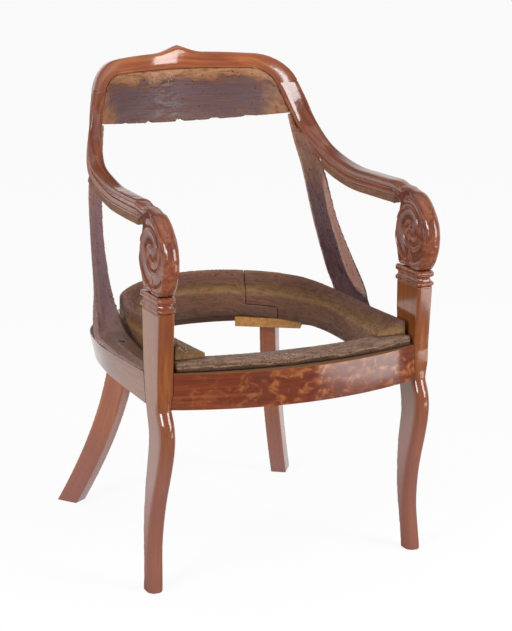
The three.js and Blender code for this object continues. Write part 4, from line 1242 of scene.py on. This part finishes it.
@dataclass
class ChairFrame:
    """The fixed frame: crest, arms, stiles, legs and rails."""

    smooth_degrees: float = 50.0
    worn_degrees: float = 60.0
    stile_voxel: float = 0.002
    leg_voxel: float = 0.0015

    def build(self) -> None:
        """Dresses each shown node of the frame."""
        DressedNode("crest_rail", CREST, Along.ACROSS, self.smooth_degrees).build()
        TackPanel().build()
        for node, finish in (
            ("front_rail_veneer", FLAME_VENEER), ("front_seat_rail", RAIL),
            ("back_rail_veneer", SIDE_VENEER), ("back_seat_rail", RAIL),
        ):
            DressedNode(node, finish, Along.ACROSS).build()
        stile_shape = (Along.RAKE, self.smooth_degrees, self.stile_voxel, 3)
        leg_shape = (Along.HEIGHT, self.worn_degrees, self.leg_voxel)
        for side, stile in (("left", LIT_LEFT_STILE), ("right", STILE)):
            Arm(side).build()
            DressedNode(f"{side}_arm_tack_strip", STRIP, Along.DEPTH).build()
            DressedNode(f"{side}_stile", stile, *stile_shape).build()
            DressedNode(f"{side}_front_leg", LEG, *leg_shape, 5).build()
            DressedNode(f"{side}_rear_leg", REAR_LEG, *leg_shape, 4).build()
            Collar(side).build()
            DressedNode(f"{side}_side_rail", RAIL, Along.DEPTH).build()
            DressedNode(f"{side}_side_rail_veneer", SIDE_VENEER, Along.DEPTH).build()
            DressedNode(f"{side}_front_corner_block", RAIL, Along.ACROSS).build()


@dataclass
class SeatFrame:
    """The loose seat frame: two lapped halves and a front member."""

    worn_degrees: float = 60.0
    voxel: float = 0.002

    def build(self) -> None:
        """Dresses each shown node of the seat frame."""
        worn = (self.worn_degrees, self.voxel)
        for side in ("left", "right"):
            DressedNode(f"seat_frame_back_{side}", SEAT, Along.ROUND, *worn, 2).build()
        DressedNode("seat_frame_front", SEAT_FRONT, Along.ACROSS, *worn, 3).build()


@dataclass
class Fixings:
    """Dowels, screws, nails and the sawn splice block, which stay as CAD nodes."""

    def build(self) -> None:
        """Gives each node the material of its kind."""
        kinds = {
            "dowel": DOWEL, "screw": IRON, "nail": IRON,
            "splice_block": PINE,
        }
        for node, piece in frame["nodes"].items():
            for finish in (finish for word, finish in kinds.items() if word in node):
                piece.material_slots[0].material = finish.material()


@dataclass(frozen=True)
class Lamp:
    """A soft box."""

    name: str
    place: Triple
    aim: Triple
    width: float
    height: float
    watts: float

    def build(self) -> None:
        """Hangs the lamp and turns it to its aim."""
        light = bpy.data.lights.new(self.name, "AREA")
        light.shape, light.size, light.size_y = "RECTANGLE", self.width, self.height
        light.energy = self.watts
        lamp = linked(self.name, light)
        lamp.visible_camera = False
        lamp.location = self.place
        lamp.rotation_mode = "QUATERNION"
        direction = Vector(self.aim) - Vector(self.place)
        lamp.rotation_quaternion = direction.to_track_quat("-Z", "Y")


@dataclass
class Studio:
    """The camera of the photograph, soft lamps, a pale floor and a white surround."""

    azimuth_degrees: float = -24.5
    elevation_degrees: float = 13.89
    camera_place: Triple = (-1.3634, -3.0840, 1.2461)
    lens_mm: float = 108.51
    sensor_mm: float = 36.0
    clip_range: tuple[float, float] = (0.1, 50.0)
    floor_size: float = 90.0
    # The floor in plain light, the floor as polish mirrors it, and its share of plain white
    floor_colours: tuple[str, str] = ("#f4f4f4", "#6e6e6e")
    floor_white: float = 0.9
    # The surround's strength as it lights the chair, and as polish mirrors it
    world_light: float = 0.34
    room_light: float = 0.2
    sky_strength: float = 0.7
    sky_spread_degrees: float = 70.0
    # Where the mirrored white begins and is full: the axis (1 is Y, 2 is Z), then the two ends
    floor_fades: Fades = ((1, -0.3, 0.4), (1, 2.8, 2.2))
    world_fades: Fades = ((1, -0.25, 0.05), (2, 0.6, 0.4))
    lamps: tuple[Lamp, ...] = (
        Lamp("left_softbox", (-2.6, -1.5, 1.58), (0, 0, 0.7), 1.25, 1.1, 62.0),
        Lamp("right_softbox", (1.85, -2.35, 1.6), (0, 0, 0.75), 1.3, 1.6, 66.0),
        Lamp("low_reflector", (0.95, -1.05, 0.12), (0.1, -0.29, 0.38), 0.9, 0.17, 1.7),
    )

    def build(self) -> None:
        """Sets up camera, lamps, floor, world and colour view."""
        self.camera()
        for lamp in self.lamps:
            lamp.build()
        overhead = bpy.data.lights.new("overhead", "SUN")
        overhead.energy, overhead.angle = self.sky_strength, math.radians(self.sky_spread_degrees)
        linked("overhead", overhead)
        self.floor()
        self.world()
        bpy.context.scene.view_settings.view_transform = "Standard"

    def camera(self) -> None:
        """Places the camera where the photograph was taken from."""
        lens = bpy.data.cameras.new("camera")
        lens.lens, lens.sensor_width = self.lens_mm, self.sensor_mm
        lens.clip_start, lens.clip_end = self.clip_range
        turn, tilt = math.radians(self.azimuth_degrees), math.radians(self.elevation_degrees)
        level, rise = math.cos(tilt), math.sin(tilt)
        back = Vector((math.sin(turn) * level, -math.cos(turn) * level, rise))
        right = Vector((math.cos(turn), math.sin(turn), 0))
        axes = Matrix((right, back.cross(right), back)).transposed().to_4x4()
        camera = linked("camera", lens)
        camera.matrix_world = Matrix.Translation(self.camera_place) @ axes
        bpy.context.scene.camera = camera

    def seen(self, add: Add, place: Socket, fades: Fades) -> Node:
        """Finds the rays that meet plain white: the camera's, those through glass, and those that
        polish mirrors from the sweep behind the chair, but not from the room around it.

        Args:
            add: Adds a node to the floor's or the world's tree.
            place: The place or direction that is met.
            fades: Along which axes the mirrored white begins, from where to where.

        Returns:
            The share of plain white.
        """
        path = add("LightPath", {}).outputs
        axes = add("SeparateXYZ", {}, place).outputs
        mirrored = path["Is Glossy Ray"]
        for axis, begins, full in fades:
            fade = add("MapRange", SMOOTH, axes[axis], begins, full)
            mirrored = add("Math", "MULTIPLY", mirrored, fade)
        direct = path["Is Camera Ray"], path["Is Transmission Ray"]
        return add("Math", "MAXIMUM", add("Math", "MAXIMUM", *direct), mirrored)

    def floor(self) -> None:
        """Lays a pale floor that the camera sees as white but for the chair's shadow."""
        half = self.floor_size / 2
        mesh = bpy.data.meshes.new("floor")
        places = [(x * half, y * half, 0) for x, y in ((-1, -1), (1, -1), (1, 1), (-1, 1))]
        mesh.from_pydata(places, [], [(0, 1, 2, 3)])
        material = bpy.data.materials.new("floor_paper_white")
        add = emptied(material)
        glossy = add("LightPath", {}).outputs["Is Glossy Ray"]
        place = add("TexCoord", {}).outputs["Object"]
        seen = self.seen(add, place, self.floor_fades)
        white = add("Math", "MULTIPLY", seen, self.floor_white)
        paper = add("Mix", COLOURS, glossy, *map(linear, self.floor_colours))
        matt = add("BsdfDiffuse", {}, paper)
        glow = add("Emission", {}, (1, 1, 1, 1), 1.0)
        add("OutputMaterial", {}, add("MixShader", {}, white, matt, glow))
        mesh.materials.append(material)
        linked("floor", mesh)

    def world(self) -> None:
        """Surrounds the chair with white, which lights it at a plain level."""
        world = bpy.data.worlds.new("white_surround")
        bpy.context.scene.world = world
        add = emptied(world)
        glossy = add("LightPath", {}).outputs["Is Glossy Ray"]
        toward = add("TexCoord", {}).outputs["Generated"]
        seen = self.seen(add, toward, self.world_fades)
        levels = self.world_light, self.room_light
        plain = add("MapRange", {}, glossy, 0.0, 1.0, *levels)
        strength = add("MapRange", {}, seen, 0.0, 1.0, plain, 1.0)
        light = add("Background", {}, (1, 1, 1, 1), strength)
        add("OutputWorld", {}, light)


# Each patch's holes for each square metre, and its band as two shares across the piece
FRAME_HOLES = [
    ("crest_tack_panel", 9000.0, 0.7, 1.0),
    ("left_arm_tack_strip", 12000.0, 0.0, 1.0),
    ("left_stile", 8000.0, 0.0, 1.0),
    ("right_arm_tack_strip", 12000.0, 0.0, 1.0),
    ("right_stile", 8000.0, 0.0, 1.0),
]
SEAT_HOLES = [
    ("seat_frame_back_left", 3000.0, 0.0, 1.0),
    ("seat_frame_back_right", 3000.0, 0.0, 1.0),
    ("seat_frame_front", 14000.0, 0.0, 1.0),
]
# Each tuft's middle and half sizes, its fibres for each square metre, and a fibre's length
FRAME_FIBRES = [
    ("crest_tack_panel", (-0.036, 0.2534, 0.818), (0.034, 0.02, 0.006), 60000.0, 0.006),
    ("crest_tack_panel", (0.169, 0.1916, 0.794), (0.014, 0.02, 0.012), 30000.0, 0.005),
    ("right_stile", (0.1971, 0.1569, 0.7299), (0.012, 0.02, 0.014), 80000.0, 0.008),
    ("right_stile", (0.2025, 0.1506, 0.7151), (0.01, 0.02, 0.012), 60000.0, 0.007),
    ("left_stile", (-0.2177, 0.0646, 0.4768), (0.012, 0.02, 0.012), 40000.0, 0.006),
    ("front_rail_veneer", (0.1282, -0.2964, 0.372), (0.002, 0.004, 0.013), 4e5, 0.004),
]
SEAT_FIBRES = [
    ("seat_frame_back_left", (-0.203, -0.243, 0.432), (0.02, 0.02, 0.012), 6e4, 0.007),
    ("seat_frame_front", (-0.185, -0.246, 0.42), (0.02, 0.02, 0.012), 60000.0, 0.006),
    ("seat_frame_front", (0.0, -0.285, 0.41), (0.19, 0.03, 0.008), 16000.0, 0.004),
]


def main() -> None:
    """Builds the whole scene in order."""
    logging.basicConfig(level=logging.INFO, format="%(name)s %(message)s")
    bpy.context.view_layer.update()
    ChairFrame().build()
    SeatFrame().build()
    Fixings().build()
    TackHoles("chair_frame_tack_holes", "chair_frame").build(FRAME_HOLES)
    TackHoles("seat_frame_tack_holes", "seat_frame").build(SEAT_HOLES)
    Fibres("chair_frame_loose_fibres", "chair_frame").build(FRAME_FIBRES)
    Fibres("seat_frame_loose_fibres", "seat_frame").build(SEAT_FIBRES)
    Studio().build()


if __name__ == "__main__":
    main()
